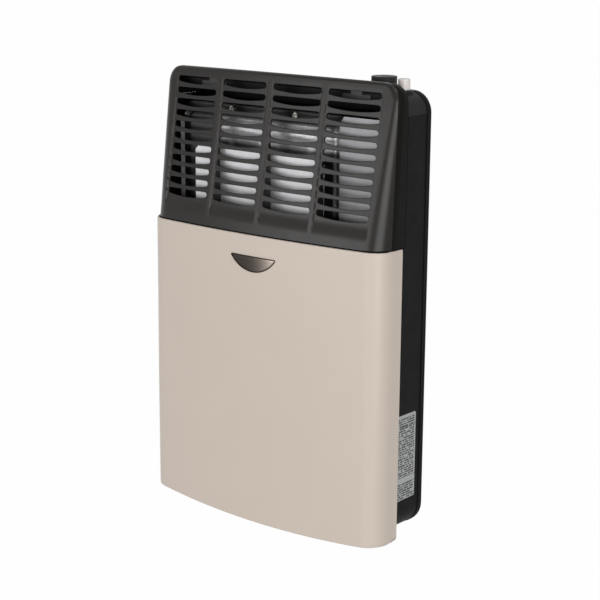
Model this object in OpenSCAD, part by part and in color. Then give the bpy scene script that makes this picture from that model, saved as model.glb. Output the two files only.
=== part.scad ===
// Wall mounted balanced-flue gas heater, built as separate pieces.
// X runs to the right as seen from the room, Y points into the wall, Z points up.
// The wall is the plane y = 0. Heights in the modules are measured up from the
// heater's lowest edge; from_base() then puts the origin on the wall face, at the
// centre of the four wall screws.

/* [Front panel] */
// Width over the painted front panel
panel_w = 366; // [350:1:380]
// Distance from the wall to the crest of the bowed front
panel_depth = 103; // [101:1:106]
// Height of the panel's straight top edge
panel_top = 361.7; // [355:0.1:368]
// Radius of the gentle bow across the front
bow_r = 1540; // [1200:10:2400]
// Radius of the panel's upright corners
panel_corner_r = 26; // [22:1:30]
// Radius of the curve along the bottom edge
dip_r = 2160; // [1800:10:3000]
// Distance from the wall to the rear edge of the side flanges
flange_rear = 53; // [51:1:56]

/* [Grille] */
// Half width of the grille's moulding
grille_half = 180.3; // [180.1:0.1:181]
// Lean of the grille's face away from the upright, in degrees
grille_lean = 9.6; // [8.8:0.1:10.2]
// Length of the leaning face from the panel's edge to the top
grille_face = 193.5; // [190:0.5:196]
// Rear edge of the grille's side returns, from the wall
grille_rear = 44.6; // [44:0.1:45.4]
// Number of louvre columns
louvre_cols = 4; // [4]
// Number of slots in each column
louvre_rows = 11; // [9:1:11]
// Centre distance of the louvre columns
col_pitch = 80.7; // [78:0.1:81]
// Centre distance of the slots in a column
row_pitch = 13.9; // [13.4:0.1:14.1]
// Length of a slot
slot_w = 72.5; // [68:0.5:73]
// Height of a slot at its ends
slot_end_h = 6.8; // [6:0.1:7.4]
// How far the slot's lower edge bellies down in the middle
slot_belly = 2.4; // [1.5:0.1:2.6]

/* [Casing] */
// Width over the rear rim of the casing
casing_w = 361.6; // [361:0.1:362]
// Height of the casing's underside
casing_z0 = 12; // [11.5:0.5:13]
// Height of the flat top of the casing
casing_top = 537.7; // [536:0.1:539]
// Height of the seam between side panels and top cap
seam_z = 512; // [511:0.2:512.2]
// Radius of the casing's top corners
top_corner_r = 25; // [24.5:0.1:25.4]
// Radius of the casing's bottom corners
bottom_corner_r = 30; // [28:0.5:30]
// Sheet metal thickness
sheet = 1; // [0.8:0.1:1.1]

/* [Wall fixing and connections] */
// Spacing of the wall screws across
wall_dx = 280; // [270:5:290]
// Spacing of the wall screws in height
wall_dz = 480; // [475:1:482]
// Height of the centre of the wall screws
fix_h = 282; // [280:1:284]
// Radius of the wall screw holes
wall_hole_r = 3.5; // [3:0.1:4]
// Bore radius of the flue collar
flue_r = 28; // [26:0.5:30]
// Bore radius of the air collar round it
air_r = 50; // [48:0.5:50]
// Radius inside the half-inch gas thread
gas_r = 9.3; // [9:0.1:9.6]

/* [Controls] */
// Diameter of the control knob
knob_d = 30; // [28:0.5:33]
// How far the knob pushes down
knob_travel = 4; // [3:0.5:4]
// Diameter of the igniter button
button_d = 14; // [13:0.1:14.2]
// How far the igniter button pushes down
button_travel = 6; // [5:0.5:6]

/* [Hidden] */
$fn = 64;
eps = 0.01;
far = 400;

// colours
panel_colour = [0.78, 0.73, 0.68];
graphite = [0.3, 0.29, 0.28];
casing_black = [0.13, 0.13, 0.13];
enamel_black = [0.08, 0.08, 0.085];
galvanised = [0.68, 0.69, 0.7];
steel = [0.6, 0.6, 0.62];
brass_colour = [0.72, 0.58, 0.3];
copper_colour = [0.72, 0.43, 0.26];
cast_grey = [0.3, 0.3, 0.31];
cloth_white = [0.85, 0.84, 0.8];

// casing
casing_half = casing_w / 2;
rim_t = 0.8;
rim_depth = 7;
side_out = casing_half - rim_t;
side_front = 62;
step_in = 1.6;
step_y = 43.5;
step_front = 48;
step_z = 341;
ledge_z = panel_top + 0.2;
ledge_y = flange_rear - 0.5;
cap_top = casing_top - rim_t;
flange_w = 11;
rivet_zs = [120, 300, 470];
rivet_x = 172;
bar_screw_x = 173;
bar_screw_zs = [50, 329];
base_z = casing_z0 + rim_t + sheet + 0.1;
base_half = casing_w / 2 - 29;
base_screw_x = 146;
base_screw_ys = [11.4, 48];

// front panel
panel_half = panel_w / 2;
crest_y = -panel_depth;
bow_centre_y = crest_y + bow_r;
panel_screw_x = 110;
panel_screw_y = 85;
panel_screw_z = dip_r - sqrt(dip_r * dip_r - pow(panel_screw_x - 3.4, 2)) - 0.02;
hook_x = 105;
hem_r = 4;
flange_z0 = dip_r - sqrt(dip_r * dip_r - panel_half * panel_half);

// grille
grille_front_y = -101;
grille_small_r = 17;
grille_wide_r = 36;
grille_inset = panel_half - grille_half;
pocket_depth = 2.5;
pocket_z0 = 386;
pocket_z1 = 545;
wall_t = 2;
first_slot_v = 180.6;
web_half = 3.2;
web_rear = 74.5;
top_round = 22;

// controls
knob_x = 127.7;
control_y = -20;
button_x = 156;
button_top = 552.4;
knob_z = 542.5;
knob_h = 10.6;
rod_r = 3;
run_gap = 0.05;
boss_r = 11.5;
boss_top = casing_top;

// badge
badge_top = 336.7;
badge_h = 19.5;
badge_half = 34.6;
badge_arc_r = 42.8;

// combustion chamber
cham_x0 = -148;
cham_x1 = 90;
cham_z0 = 97;
cham_z1 = 497;
cham_flange = 10;
cham_face_y = -58;
cham_flange_y = -50;
cham_rear_y = -15;
flue_x = -27;
flue_z = 400;
burner_y = -34;
burner_z = 135;
burner_lug_xs = [-100, 42];
glass_x = -70;
glass_z = 140;
lead_z = 168;
flute_xs = [-50, 25];
flute_half = 32;
flute_out = 8;
flute_r = (flute_half * flute_half + flute_out * flute_out) / (2 * flute_out);

// heat shields
shield_y = -72;
shield_t = 0.8;
shield_x0 = -121;
shield_x1 = 82;
shield_z0 = 172;
shield_z1 = 456.7;
shield_foot_xs = [shield_x0 + 8, shield_x1 - 8];
shield_foot_zs = [205, 372];
right_shield_y = -62.1;
right_shield_x0 = 97.6;
right_shield_x1 = 170;
right_shield_z1 = 508;
right_screw_zs = [150, 300];

// gas valve
valve_x0 = 108;
valve_x1 = 146;
valve_y0 = -40;
valve_y1 = -8;
valve_z0 = 150;
valve_z1 = 205;
valve_ear_z = 178;
valve_ear_xs = [valve_x0 - 5, valve_x1 + 5];
spindle_r = 4;
plunger_z = 196;
cavity_r = 10;
inlet_x = 128;
inlet_hole_r = 16.4;
feed_x = 118;

// ---------------------------------------------------------------- helpers

// moves a piece from heights above the lowest edge to the wall-screw origin
module from_base() {
  translate([0, 0, -fix_h]) children();
}

// extrudes an outline drawn in X and Z from y towards the room
module slab(y, t) {
  translate([0, y, 0]) rotate([90, 0, 0]) linear_extrude(t) children();
}

// box between two corners
module span(low, high) {
  translate(low) cube(high - low);
}

// rounded rectangle between x0, x1 and z0, z1
module rounded(x0, x1, z0, z1, r) {
  translate([x0 + r, z0]) square([x1 - x0 - 2 * r, z1 - z0]);
  translate([x0, z0 + r]) square([x1 - x0, z1 - z0 - 2 * r]);
  for (x = [x0 + r, x1 - r], z = [z0 + r, z1 - r])
    translate([x, z]) circle(r);
}

// cylinder along Y from y towards the room
module rod_y(x, y, z, r, l) {
  translate([x, y, z]) rotate([90, 0, 0]) cylinder(r = r, h = l);
}

// cylinder along X
module rod_x(x, y, z, r, l) {
  translate([x, y, z]) rotate([0, 90, 0]) cylinder(r = r, h = l);
}

// cylinder along Z
module rod_z(x, y, z, r, l) {
  translate([x, y, z]) cylinder(r = r, h = l);
}

// tube of radius r along a list of points, with round corners of the same radius
module run_of_tube(points, r) {
  for (i = [0:len(points) - 2]) {
    a = points[i];
    d = points[i + 1] - a;
    l = norm(d);
    translate(a)
      rotate([0, acos(d[2] / l), atan2(d[1], d[0])])
        cylinder(r = r, h = l);
  }
  for (i = [1:1:len(points) - 2])
    translate(points[i]) sphere(r);
}

// round wire wound into a compression spring standing on z = 0
module coil_spring(r, wire_r, length, turns) {
  sides = 8;
  per_turn = 20;
  steps = turns * per_turn;
  rise = length - 2 * wire_r;
  points = [
    for (i = [0:steps])
      for (k = [0:sides - 1])
        let (
          a = 360 * i / per_turn,
          b = 360 * k / sides,
          d = r + wire_r * cos(b)
        )
        [d * cos(a), d * sin(a), wire_r + rise * i / steps + wire_r * sin(b)]
  ];
  skin = [
    for (i = [0:steps - 1])
      for (k = [0:sides - 1])
        let (n = (k + 1) % sides)
        [i * sides + k, (i + 1) * sides + k, (i + 1) * sides + n, i * sides + n]
  ];
  first = [for (k = [0:sides - 1]) k];
  last = [for (k = [0:sides - 1]) steps * sides + sides - 1 - k];
  polyhedron(points, concat(skin, [first, last]), convexity = 10);
}

// pan head screw entering along +Y, its head seated at y
module screw_y(x, y, z, d, l) {
  difference() {
    union() {
      rod_y(x, y, z, d * 0.95, d * 0.6);
      rod_y(x, y + l, z, d / 2, l);
    }
    for (a = [0, 90])
      translate([x, y - d * 0.6, z])
        rotate([0, a, 0])
          cube([d * 1.1, d * 0.6, d * 0.22], center = true);
  }
}

// pan head screw entering along +Z, its head seated at z
module screw_z(x, y, z, d, l) {
  difference() {
    union() {
      rod_z(x, y, z - d * 0.6, d * 0.95, d * 0.6);
      rod_z(x, y, z, d / 2, l);
    }
    for (a = [0, 90])
      translate([x, y, z - d * 0.6])
        rotate([0, 0, a])
          cube([d * 1.1, d * 0.22, d * 0.6], center = true);
  }
}

// outline of the bowed front with round corners, drawn in X and Y
module bowed_outline(half, crest, corner_r, inset, rear) {
  r = bow_r - inset;
  rc = corner_r - inset;
  cy = crest + bow_r;
  cx = half - corner_r;
  yc = cy - sqrt(pow(bow_r - corner_r, 2) - cx * cx);
  reach = bow_r * cx / (bow_r - corner_r);
  intersection() {
    translate([0, cy]) circle(r, $fn = 360);
    translate([-reach, crest]) square([2 * reach, rear - crest]);
  }
  for (s = [-1, 1])
    translate([s * cx, yc]) circle(rc);
  translate([inset - half, yc]) square([2 * (half - inset), rear - yc]);
}

// casing outline drawn in X and Z, drawn in by an inset
module casing_outline(inset) {
  half = casing_half - inset;
  z0 = casing_z0 + inset;
  z1 = casing_top - inset;
  rt = top_corner_r - inset;
  rb = bottom_corner_r - inset;
  translate([-half, z0 + rb]) square([2 * half, z1 - rt - z0 - rb]);
  translate([rb - half, z0]) square([2 * (half - rb), rb + eps]);
  translate([rt - half, z1 - rt - eps]) square([2 * (half - rt), rt + eps]);
  for (s = [-1, 1]) {
    translate([s * (half - rb), z0 + rb]) circle(rb);
    translate([s * (half - rt), z1 - rt]) circle(rt);
  }
}

// ring between two insets of the casing outline
module casing_ring(inset, t) {
  difference() {
    casing_outline(inset);
    casing_outline(inset + t);
  }
}

// places children at the four wall screws
module at_wall_screws() {
  for (sx = [-1, 1], sz = [-1, 1])
    translate([sx * wall_dx / 2, 0, fix_h + sz * wall_dz / 2]) children();
}

// places children along the chamber's flange, between its corners
module at_chamber_screws() {
  x0 = cham_x0 - cham_flange / 2;
  x1 = cham_x1 + cham_flange / 2;
  z0 = cham_z0 - cham_flange / 2;
  z1 = cham_z1 + cham_flange / 2;
  for (x = [x0, x1], z = [z0 + 12, (z0 + z1) / 2, z1 - 12])
    translate([x, 0, z]) children();
  for (x = [flue_x - 50, flue_x + 50], z = [z0, z1])
    translate([x, 0, z]) children();
}

// ---------------------------------------------------------------- casing

module back_plate() {
  color(casing_black) from_base() difference() {
    union() {
      slab(0, sheet) casing_outline(0);
      slab(0, rim_depth) casing_ring(0, rim_t - 0.03);
    }
    at_wall_screws() rod_y(0, 1, 0, wall_hole_r, 3);
    rod_y(flue_x, 1, flue_z, air_r + 1.5, 4);
    for (s = [-1, 1], z = rivet_zs)
      rod_y(s * rivet_x, 1, z, 1.6, 4);
  }
}

// right hand side panel; the left one is its mirror image
module side_shell() {
  inner = side_out - sheet;
  difference() {
    union() {
      // flat wall, bottom corner and bottom flange behind the front panel
      intersection() {
        slab(-sheet, side_front - sheet) casing_ring(rim_t, sheet);
        span([130, -side_front, 0], [200, -sheet, step_z]);
      }
      span([inner, -ledge_y, step_z - eps], [side_out, -sheet, ledge_z]);
      // wall beside the grille, set in where the grille's return covers it
      span([inner, -step_y, step_z - eps], [side_out, -sheet, seam_z]);
      span([inner - step_in, -step_front, ledge_z - 1],
           [side_out - step_in, -step_y + 1, seam_z]);
      span([inner - step_in, -step_y, ledge_z - 1], [side_out, -step_y + 1, seam_z]);
      span([inner - step_in, -ledge_y, ledge_z - 1], [side_out, -step_y + 1, ledge_z]);
      // front and rear flanges
      span([inner - flange_w, -side_front, 40], [inner + eps, 1 - side_front, step_z]);
      span([inner - flange_w, -step_front, ledge_z],
           [inner - step_in + eps, 1 - step_front, seam_z - 3]);
      span([inner - 12, -2 * sheet, 40], [inner + eps, -sheet, seam_z - 3]);
    }
    for (z = rivet_zs)
      rod_y(rivet_x, 1, z, 1.6, 4);
    for (y = base_screw_ys)
      rod_z(base_screw_x, -y, 10, 2.05, 20);
    for (z = concat(right_screw_zs, bar_screw_zs))
      rod_y(bar_screw_x, -50, z, 2.05, 20);
  }
}

module right_side_panel() {
  color(casing_black) from_base() difference() {
    side_shell();
    rod_z(inlet_x, control_y, 10, inlet_hole_r, 20);
  }
}

module left_side_panel() {
  color(casing_black) from_base() mirror([1, 0, 0]) side_shell();
}

module base_plate() {
  slots_x = [-130:26:78];
  color(casing_black) from_base() difference() {
    union() {
      span([-base_half, -side_front + 1, base_z], [base_half, -sheet - 0.2, base_z + sheet]);
      // stiffening lips, front and rear
      span([-base_half, -side_front + 1, base_z], [base_half, -side_front + 2, base_z + 9]);
      span([-base_half, -sheet - 1.2, base_z], [base_half, -sheet - 0.2, base_z + 9]);
    }
    for (x = slots_x)
      span([x, -46, base_z - 5], [x + 8, -14, base_z + 5]);
    rod_z(inlet_x, control_y, base_z - 5, inlet_hole_r, 10);
    for (s = [-1, 1], y = base_screw_ys)
      rod_z(s * base_screw_x, -y, 10, 2.05, 20);
  }
}

module top_cap() {
  color([0.2, 0.2, 0.2]) from_base() difference() {
    union() {
      intersection() {
        union() {
          slab(-sheet, step_y - sheet) casing_ring(rim_t, sheet);
          slab(-step_y + 1, step_front - step_y + 1) casing_ring(rim_t + step_in, sheet);
          slab(-step_y + 1, 1) casing_ring(rim_t, sheet + step_in);
        }
        span([-far, -far, seam_z + 0.2], [far, far, far * 2]);
      }
      // down-turned front edge
      intersection() {
        slab(1 - step_front, 1) casing_outline(rim_t + step_in);
        span([-far, -far, 522], [far, far, far * 2]);
      }
      // flat boss round the igniter
      rod_z(button_x, control_y, 532, boss_r, boss_top - 532);
    }
    rod_z(knob_x, control_y, 525, 6, 20);
    rod_z(button_x, control_y, 525, 9.2, 20);
  }
}

module left_post() {
  x1 = cham_x0 - cham_flange - 1;
  x0 = x1 - 7;
  z0 = base_z + 5.4;
  color(galvanised) from_base() difference() {
    union() {
      span([x0, -51, z0], [x1, -50, 486]);
      span([x0, -51, z0], [x0 + 1, -sheet - 1, 486]);
      span([x0, -sheet - 1.02, z0], [x1, -sheet - 0.02, 486]);
    }
    // slanted top
    translate([x0 - 1, -60, 486]) rotate([0, 35, 0]) cube([20, 70, 12]);
  }
}

// crossbar between the side panels, carrying the front panel
module crossbar(z0, z1, tab_z1) {
  reach = 160;
  front = 92;
  tab_y = side_front + 1;
  difference() {
    union() {
      span([-reach, -front, z0], [reach, 1 - front, z1]);
      for (s = [-1, 1]) {
        translate([s * (reach - 0.5) - 0.5, -front, z0]) cube([1, front - tab_y + 1, z1 - z0]);
        translate([s * (reach + 8.5) - 8.5, -tab_y, z0]) cube([17, 1, tab_z1 - z0]);
      }
    }
    for (s = [-1, 1])
      rod_y(s * bar_screw_x, -50, tab_z1 - 11, 2.05, 20);
  }
}

module upper_crossbar() {
  color(galvanised) from_base() crossbar(318, 340, 340);
}

module lower_crossbar() {
  color(galvanised) from_base() difference() {
    union() {
      crossbar(12, 34, 61);
      span([-140, -92, 12], [140, -78, 13]);
    }
    for (s = [-1, 1])
      rod_z(s * panel_screw_x, -panel_screw_y, 5, 1.8, 12);
  }
}

module side_rivets() {
  color(steel) from_base()
    for (s = [-1, 1], z = rivet_zs) {
      rod_y(s * rivet_x, 0, z, 1.58, 2.1);
      rod_y(s * rivet_x, -2, z, 3, 1);
    }
}

module casing_screws() {
  color(steel) from_base() {
    for (s = [-1, 1], y = base_screw_ys)
      screw_z(s * base_screw_x, -y, casing_z0 + rim_t, 4, 6);
    for (s = [-1, 1])
      screw_z(s * panel_screw_x, -panel_screw_y, panel_screw_z, 3.5, 13);
    for (s = [-1, 1], z = bar_screw_zs)
      screw_y(s * bar_screw_x, -side_front - 1, z, 4, 6);
  }
}

// ---------------------------------------------------------------- front panel

// the space above the curved bottom edge, raised by t
module above_dip(t) {
  translate([0, 0, dip_r])
    rotate([90, 0, 0])
      cylinder(r = dip_r - t, h = far, $fn = 720);
}

module panel_solid(inset, z0, z1, rear) {
  translate([0, 0, z0])
    linear_extrude(z1 - z0)
      bowed_outline(panel_half, crest_y, panel_corner_r, inset, rear);
}

module front_panel() {
  color(panel_colour) from_base() difference() {
    union() {
      // bowed face, corners and side flanges
      intersection() {
        difference() {
          panel_solid(0, -1, panel_top, -flange_rear);
          panel_solid(sheet, -2, panel_top + 1, 0);
        }
        above_dip(0);
      }
      // narrow top lip
      difference() {
        panel_solid(0.5, panel_top - 1, panel_top, -flange_rear);
        panel_solid(3.2, panel_top - 2, panel_top + 1, 0);
        span([-far, -flange_rear - 8, 0], [far, 0, far * 2]);
      }
      // bottom flange, following the curved edge
      intersection() {
        difference() {
          panel_solid(0.5, -1, 14, -flange_rear);
          panel_solid(15, -2, 15, 0);
        }
        difference() {
          above_dip(0);
          above_dip(1);
        }
        span([-panel_half + 10, -far, -5], [panel_half - 10, -72, 20]);
      }
    }
    // rounded lower rear corner of the side flanges
    difference() {
      span([-far, -flange_rear - hem_r, -5], [far, 1, flange_z0 + hem_r]);
      rod_x(-far, -flange_rear - hem_r, flange_z0 + hem_r, hem_r, 2 * far);
    }
    for (s = [-1, 1])
      rod_z(s * panel_screw_x, -panel_screw_y, -2, 1.8, 12);
  }
}

module panel_hooks() {
  z_bar = 340;
  color(galvanised) from_base()
    for (s = [-1, 1])
      translate([s * hook_x, 0, 0]) {
        // pad against the panel's inner face, tongue over the crossbar, lip behind it
        span([-6, -97.9, 322], [6, -96.9, z_bar + 1.4]);
        span([-6, -97.9, z_bar + 0.2], [6, -88.8, z_bar + 1.4]);
        span([-6, -89.8, z_bar - 8], [6, -88.8, z_bar + 1.4]);
      }
}

module badge_outline(inset) {
  intersection() {
    translate([0, badge_top - badge_h + badge_arc_r]) circle(badge_arc_r - inset, $fn = 180);
    translate([inset - badge_half, badge_top - 40])
      square([2 * (badge_half - inset), 40 - inset]);
  }
}

// curved sheet that lies on the bowed face, from out0 to out1 in front of it
module on_face(out0, out1) {
  intersection() {
    slab(0, far) children();
    translate([0, bow_centre_y, 0])
      difference() {
        cylinder(r = bow_r + out1, h = far, $fn = 720);
        translate([0, 0, -1]) cylinder(r = bow_r + out0, h = far + 2, $fn = 720);
      }
  }
}

module badge_rim() {
  color([0.25, 0.22, 0.2]) from_base() on_face(0.02, 1.2) difference() {
    badge_outline(0);
    badge_outline(1.1);
  }
}

module badge_plate() {
  color([0.62, 0.6, 0.57]) from_base() on_face(0.02, 0.9) badge_outline(1.15);
}

module rating_plate() {
  color([0.66, 0.67, 0.68]) from_base()
    translate([side_out + 0.02, 0, 0])
      rotate([0, -90, 180])
        linear_extrude(0.18)
          rounded(54.7, 160.9, 15, 57, 3);
}

// ---------------------------------------------------------------- grille

// children drawn in the leaning frame: X across, Y inwards, Z up along the face
module leaning() {
  translate([0, grille_front_y, panel_top])
    rotate([-grille_lean, 0, 0])
      children();
}

// solid bounded by the leaning face, drawn in by an inset
module leaning_solid(inset) {
  leaning()
    translate([0, 0, -60])
      linear_extrude(320)
        bowed_outline(grille_half, 0, grille_small_r, inset, 120);
}

// front view of the moulding with its round top corners, in the leaning frame
module top_limit(inset) {
  half = grille_half - inset;
  top = grille_face - inset;
  leaning()
    slab(120, 160) {
      translate([-half, -60]) square([2 * half, top + 60 - top_round]);
      translate([top_round - half, -60]) square([2 * (half - top_round), top + 60]);
      for (s = [-1, 1])
        translate([s * (half - top_round), top - top_round]) circle(top_round);
    }
}

// upright prism that gives the lower corners their wider radius
module upright_limit(inset) {
  linear_extrude(far * 2)
    bowed_outline(panel_half, crest_y, grille_wide_r, grille_inset + inset, 50);
}

module grille_solid(inset) {
  intersection() {
    leaning_solid(inset);
    top_limit(inset);
    upright_limit(inset);
  }
}

// one louvre slot: straight top edge, round ends and a bellied lower edge
module slot_outline() {
  r = slot_end_h / 2;
  chord = slot_w / 2 - r;
  belly_r = (chord * chord + slot_belly * slot_belly) / (2 * slot_belly);
  for (s = [-1, 1])
    translate([s * chord, -r]) circle(r, $fn = 32);
  translate([-chord, -slot_end_h]) square([2 * chord, slot_end_h]);
  intersection() {
    translate([0, belly_r - slot_end_h - slot_belly]) circle(belly_r, $fn = 200);
    translate([-chord, -slot_end_h - slot_belly]) square([2 * chord, slot_belly + 1]);
  }
}

module louvre_slots() {
  leaning()
    for (c = [0:louvre_cols - 1], k = [0:louvre_rows - 1])
      translate([(c - (louvre_cols - 1) / 2) * col_pitch, 0, first_slot_v - k * row_pitch])
        slab(40, 60) slot_outline();
}

module upper_grille() {
  pocket_half = slot_w / 2 + 0.4;
  rear = -grille_rear;
  color(graphite) from_base() difference() {
    union() {
      // thin outer shell, open to the rear and below
      intersection() {
        difference() {
          grille_solid(0);
          grille_solid(wall_t - 0.4);
        }
        span([-far, -far, panel_top + 0.3], [far, rear, far * 2]);
      }
      // thicker wall behind the louvre pockets
      intersection() {
        difference() {
          grille_solid(0.5);
          grille_solid(pocket_depth + wall_t);
        }
        leaning() span([-162, -5, 16], [162, 22, 186]);
      }
      // upright ribs behind the louvres
      intersection() {
        difference() {
          grille_solid(pocket_depth + 0.5);
          span([-far, -web_rear, 0], [far, far, far * 2]);
        }
        for (k = [-1:1])
          span([k * col_pitch - web_half, -far, pocket_z0 - 20],
               [k * col_pitch + web_half, 0, pocket_z1]);
      }
      // lower lip that tucks behind the front panel
      difference() {
        translate([0, 0, 343]) linear_extrude(22)
          bowed_outline(panel_half, crest_y, panel_corner_r, 3.7, rear);
        translate([0, 0, 340]) linear_extrude(30)
          bowed_outline(panel_half, crest_y, panel_corner_r, 5.3, rear + 1);
        span([-far, -flange_rear, 340], [far, 0, 370]);
      }
      // rear wall of the raised top, down to the casing's top
      intersection() {
        grille_solid(0);
        slab(rear, 1.6) difference() {
          translate([-far, 480]) square([2 * far, far]);
          casing_outline(rim_t + step_in - 0.5);
        }
      }
    }
    // recessed pocket of each louvre column
    intersection() {
      difference() {
        leaning_solid(-3);
        leaning_solid(pocket_depth);
      }
      leaning()
        for (c = [0:louvre_cols - 1])
          translate([(c - (louvre_cols - 1) / 2) * col_pitch, 0, 0])
            slab(60, 100)
              rounded(-pocket_half, pocket_half, pocket_z0 - panel_top, 184, 3);
    }
    louvre_slots();
  }
}

module grille_brackets() {
  color(galvanised) from_base()
    for (s = [-1, 1])
      translate([s * 110, 0, 0]) {
        span([-20, -step_front - 1, 524], [20, -step_front, 533]);
        span([-8, -step_front - 1, 524], [8, -step_front, 546.2]);
        span([-8, -58, 545.2], [8, -step_front, 546.2]);
      }
}

// ---------------------------------------------------------------- chamber

module chamber_outline(grow, r) {
  rounded(cham_x0 - grow, cham_x1 + grow, cham_z0 - grow, cham_z1 + grow, r);
}

module chamber_back() {
  color(enamel_black) from_base() difference() {
    union() {
      slab(cham_flange_y + 1, 1) chamber_outline(cham_flange, 14);
      slab(cham_rear_y, cham_rear_y - cham_flange_y) chamber_outline(-2, 12);
    }
    slab(cham_rear_y - 1, 60) chamber_outline(-3, 11);
    rod_y(flue_x, 0, flue_z, flue_r + 1.05, 40);
    // air inlet slot from the air duct
    span([flue_x - 50, -20, 103], [flue_x + 50, -10, 118]);
    rod_x(80, burner_y, burner_z, 9.3, 20);
    for (x = burner_lug_xs)
      rod_y(x, -10, burner_z - 20, 2.05, 20);
    for (y = [-30, -36, -42])
      rod_x(80, y, lead_z, 2.6, 20);
    at_chamber_screws() rod_y(0, -40, 0, 2.05, 20);
  }
}

module chamber_gasket() {
  color(cloth_white) from_base() difference() {
    slab(cham_flange_y, 1) chamber_outline(cham_flange, 14);
    slab(cham_flange_y + 5, 10) chamber_outline(-2, 12);
    at_chamber_screws() rod_y(0, -40, 0, 2.05, 20);
  }
}

module chamber_front() {
  face_l = cham_flange_y - 1 - cham_face_y;
  color(enamel_black) from_base() difference() {
    union() {
      slab(cham_flange_y - 1, 1) chamber_outline(cham_flange, 14);
      slab(cham_flange_y - 1, face_l) chamber_outline(0, 12);
      // upright pressed flutes
      for (x = flute_xs)
        intersection() {
          rod_z(x, cham_face_y - flute_out + flute_r, 190, flute_r, 280);
          span([x - flute_half - 5, cham_face_y - 20, 180], [x + flute_half + 5, cham_face_y + 0.5, 480]);
        }
    }
    slab(cham_flange_y + 5, 5 + face_l) chamber_outline(-1, 11);
    for (x = flute_xs)
      intersection() {
        rod_z(x, cham_face_y - flute_out + flute_r, 191, flute_r - 1, 278);
        span([x - flute_half - 5, cham_face_y - 20, 180], [x + flute_half + 5, cham_face_y + 2, 480]);
      }
    rod_y(glass_x, -50, glass_z, 17, 20);
    for (a = [45:90:315])
      rod_y(glass_x + 27 * cos(a), -50, glass_z + 27 * sin(a), 1.55, 20);
    for (x = shield_foot_xs, z = shield_foot_zs)
      rod_y(x, -50, z, 2.05, 20);
    at_chamber_screws() rod_y(0, -40, 0, 2.05, 20);
  }
}

module chamber_brackets() {
  color(galvanised) from_base()
    for (x = [-125, 65], z = [150, 470])
      difference() {
        span([x - 10, cham_rear_y, z - 15], [x + 10, -sheet, z + 15]);
        span([x - 9, cham_rear_y + 1, z - 16], [x + 9, -sheet - 1, z + 16]);
      }
}

module chamber_screws() {
  color(steel) from_base() {
    at_chamber_screws() screw_y(0, cham_flange_y - 2, 0, 4, 6);
    for (x = burner_lug_xs)
      screw_y(x, -19, burner_z - 20, 4, 6);
  }
}

module flue_collar() {
  color(galvanised) from_base() difference() {
    union() {
      rod_y(flue_x, 0, flue_z, flue_r + 1, 30);
      rod_y(flue_x, cham_rear_y - 1, flue_z, flue_r + 10, 1);
    }
    rod_y(flue_x, 1, flue_z, flue_r, 32);
  }
}

module air_collar() {
  color(galvanised) from_base() difference() {
    union() {
      rod_y(flue_x, 0, flue_z, air_r + 1.2, 9);
      rod_y(flue_x, -sheet, flue_z, air_r + 8, 1);
    }
    rod_y(flue_x, 1, flue_z, air_r, 12);
  }
}

module air_duct() {
  color(galvanised) from_base() difference() {
    slab(-2.2, -2.2 - cham_rear_y) rounded(flue_x - 62, flue_x + 62, 100, 462, 6);
    slab(-3, 20) rounded(flue_x - 61, flue_x + 61, 101, 461, 5);
    rod_y(flue_x, 0, flue_z, air_r + 1.5, 8);
  }
}

module sight_glass() {
  color([0.8, 0.85, 0.85, 0.5]) from_base() rod_y(glass_x, cham_face_y - 1, glass_z, 23, 3);
}

module glass_gasket() {
  color(cloth_white) from_base() difference() {
    rod_y(glass_x, cham_face_y, glass_z, 23, 1);
    rod_y(glass_x, cham_face_y + 1, glass_z, 17, 3);
  }
}

module glass_frame() {
  color(steel) from_base() difference() {
    rod_y(glass_x, cham_face_y, glass_z, 31, 5.2);
    rod_y(glass_x, cham_face_y + 1, glass_z, 23.3, 5);
    rod_y(glass_x, cham_face_y, glass_z, 18, 10);
    for (a = [45:90:315])
      rod_y(glass_x + 27 * cos(a), -50, glass_z + 27 * sin(a), 1.55, 20);
  }
}

module glass_screws() {
  color(steel) from_base()
    for (a = [45:90:315])
      screw_y(glass_x + 27 * cos(a), cham_face_y - 5.2, glass_z + 27 * sin(a), 3, 7);
}

// ---------------------------------------------------------------- heat shields

module front_heat_shield() {
  cut = 6;
  color(galvanised) from_base() difference() {
    union() {
      slab(shield_y + shield_t, shield_t)
        polygon([
          [shield_x0, shield_z0],
          [shield_x1, shield_z0],
          [shield_x1, shield_z1 - cut],
          [shield_x1 - cut, shield_z1],
          [shield_x0 + cut, shield_z1],
          [shield_x0, shield_z1 - cut]
        ]);
      // legs at the edges, with feet on the chamber's face
      for (z = shield_foot_zs) {
        for (x = [shield_x0, shield_x1 - 1])
          span([x, shield_y, z - 7], [x + 1, cham_face_y, z + 7]);
        for (x = [shield_x0, shield_x1 - 15])
          span([x, cham_face_y - 1, z - 7], [x + 15, cham_face_y, z + 7]);
      }
    }
    for (x = shield_foot_xs, z = shield_foot_zs) {
      rod_y(x, -50, z, 2.05, 20);
      // access hole for the screwdriver
      rod_y(x, -68, z, 5, 10);
    }
  }
}

module right_heat_shield() {
  cut = 8;
  color(galvanised) from_base() difference() {
    slab(right_shield_y, shield_t) {
      difference() {
        polygon([
          [right_shield_x0, 90],
          [right_shield_x1, 90],
          [right_shield_x1, right_shield_z1],
          [right_shield_x0 + cut * 0.75, right_shield_z1],
          [right_shield_x0, right_shield_z1 - cut]
        ]);
        // notch round the upper crossbar
        translate([157, 315]) square([20, 28]);
      }
      // ears on the side panel's front flange
      for (z = right_screw_zs)
        translate([right_shield_x1 - 1, z - 8]) square([8, 16]);
    }
    for (z = right_screw_zs)
      rod_y(bar_screw_x, -50, z, 2.05, 20);
  }
}

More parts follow.
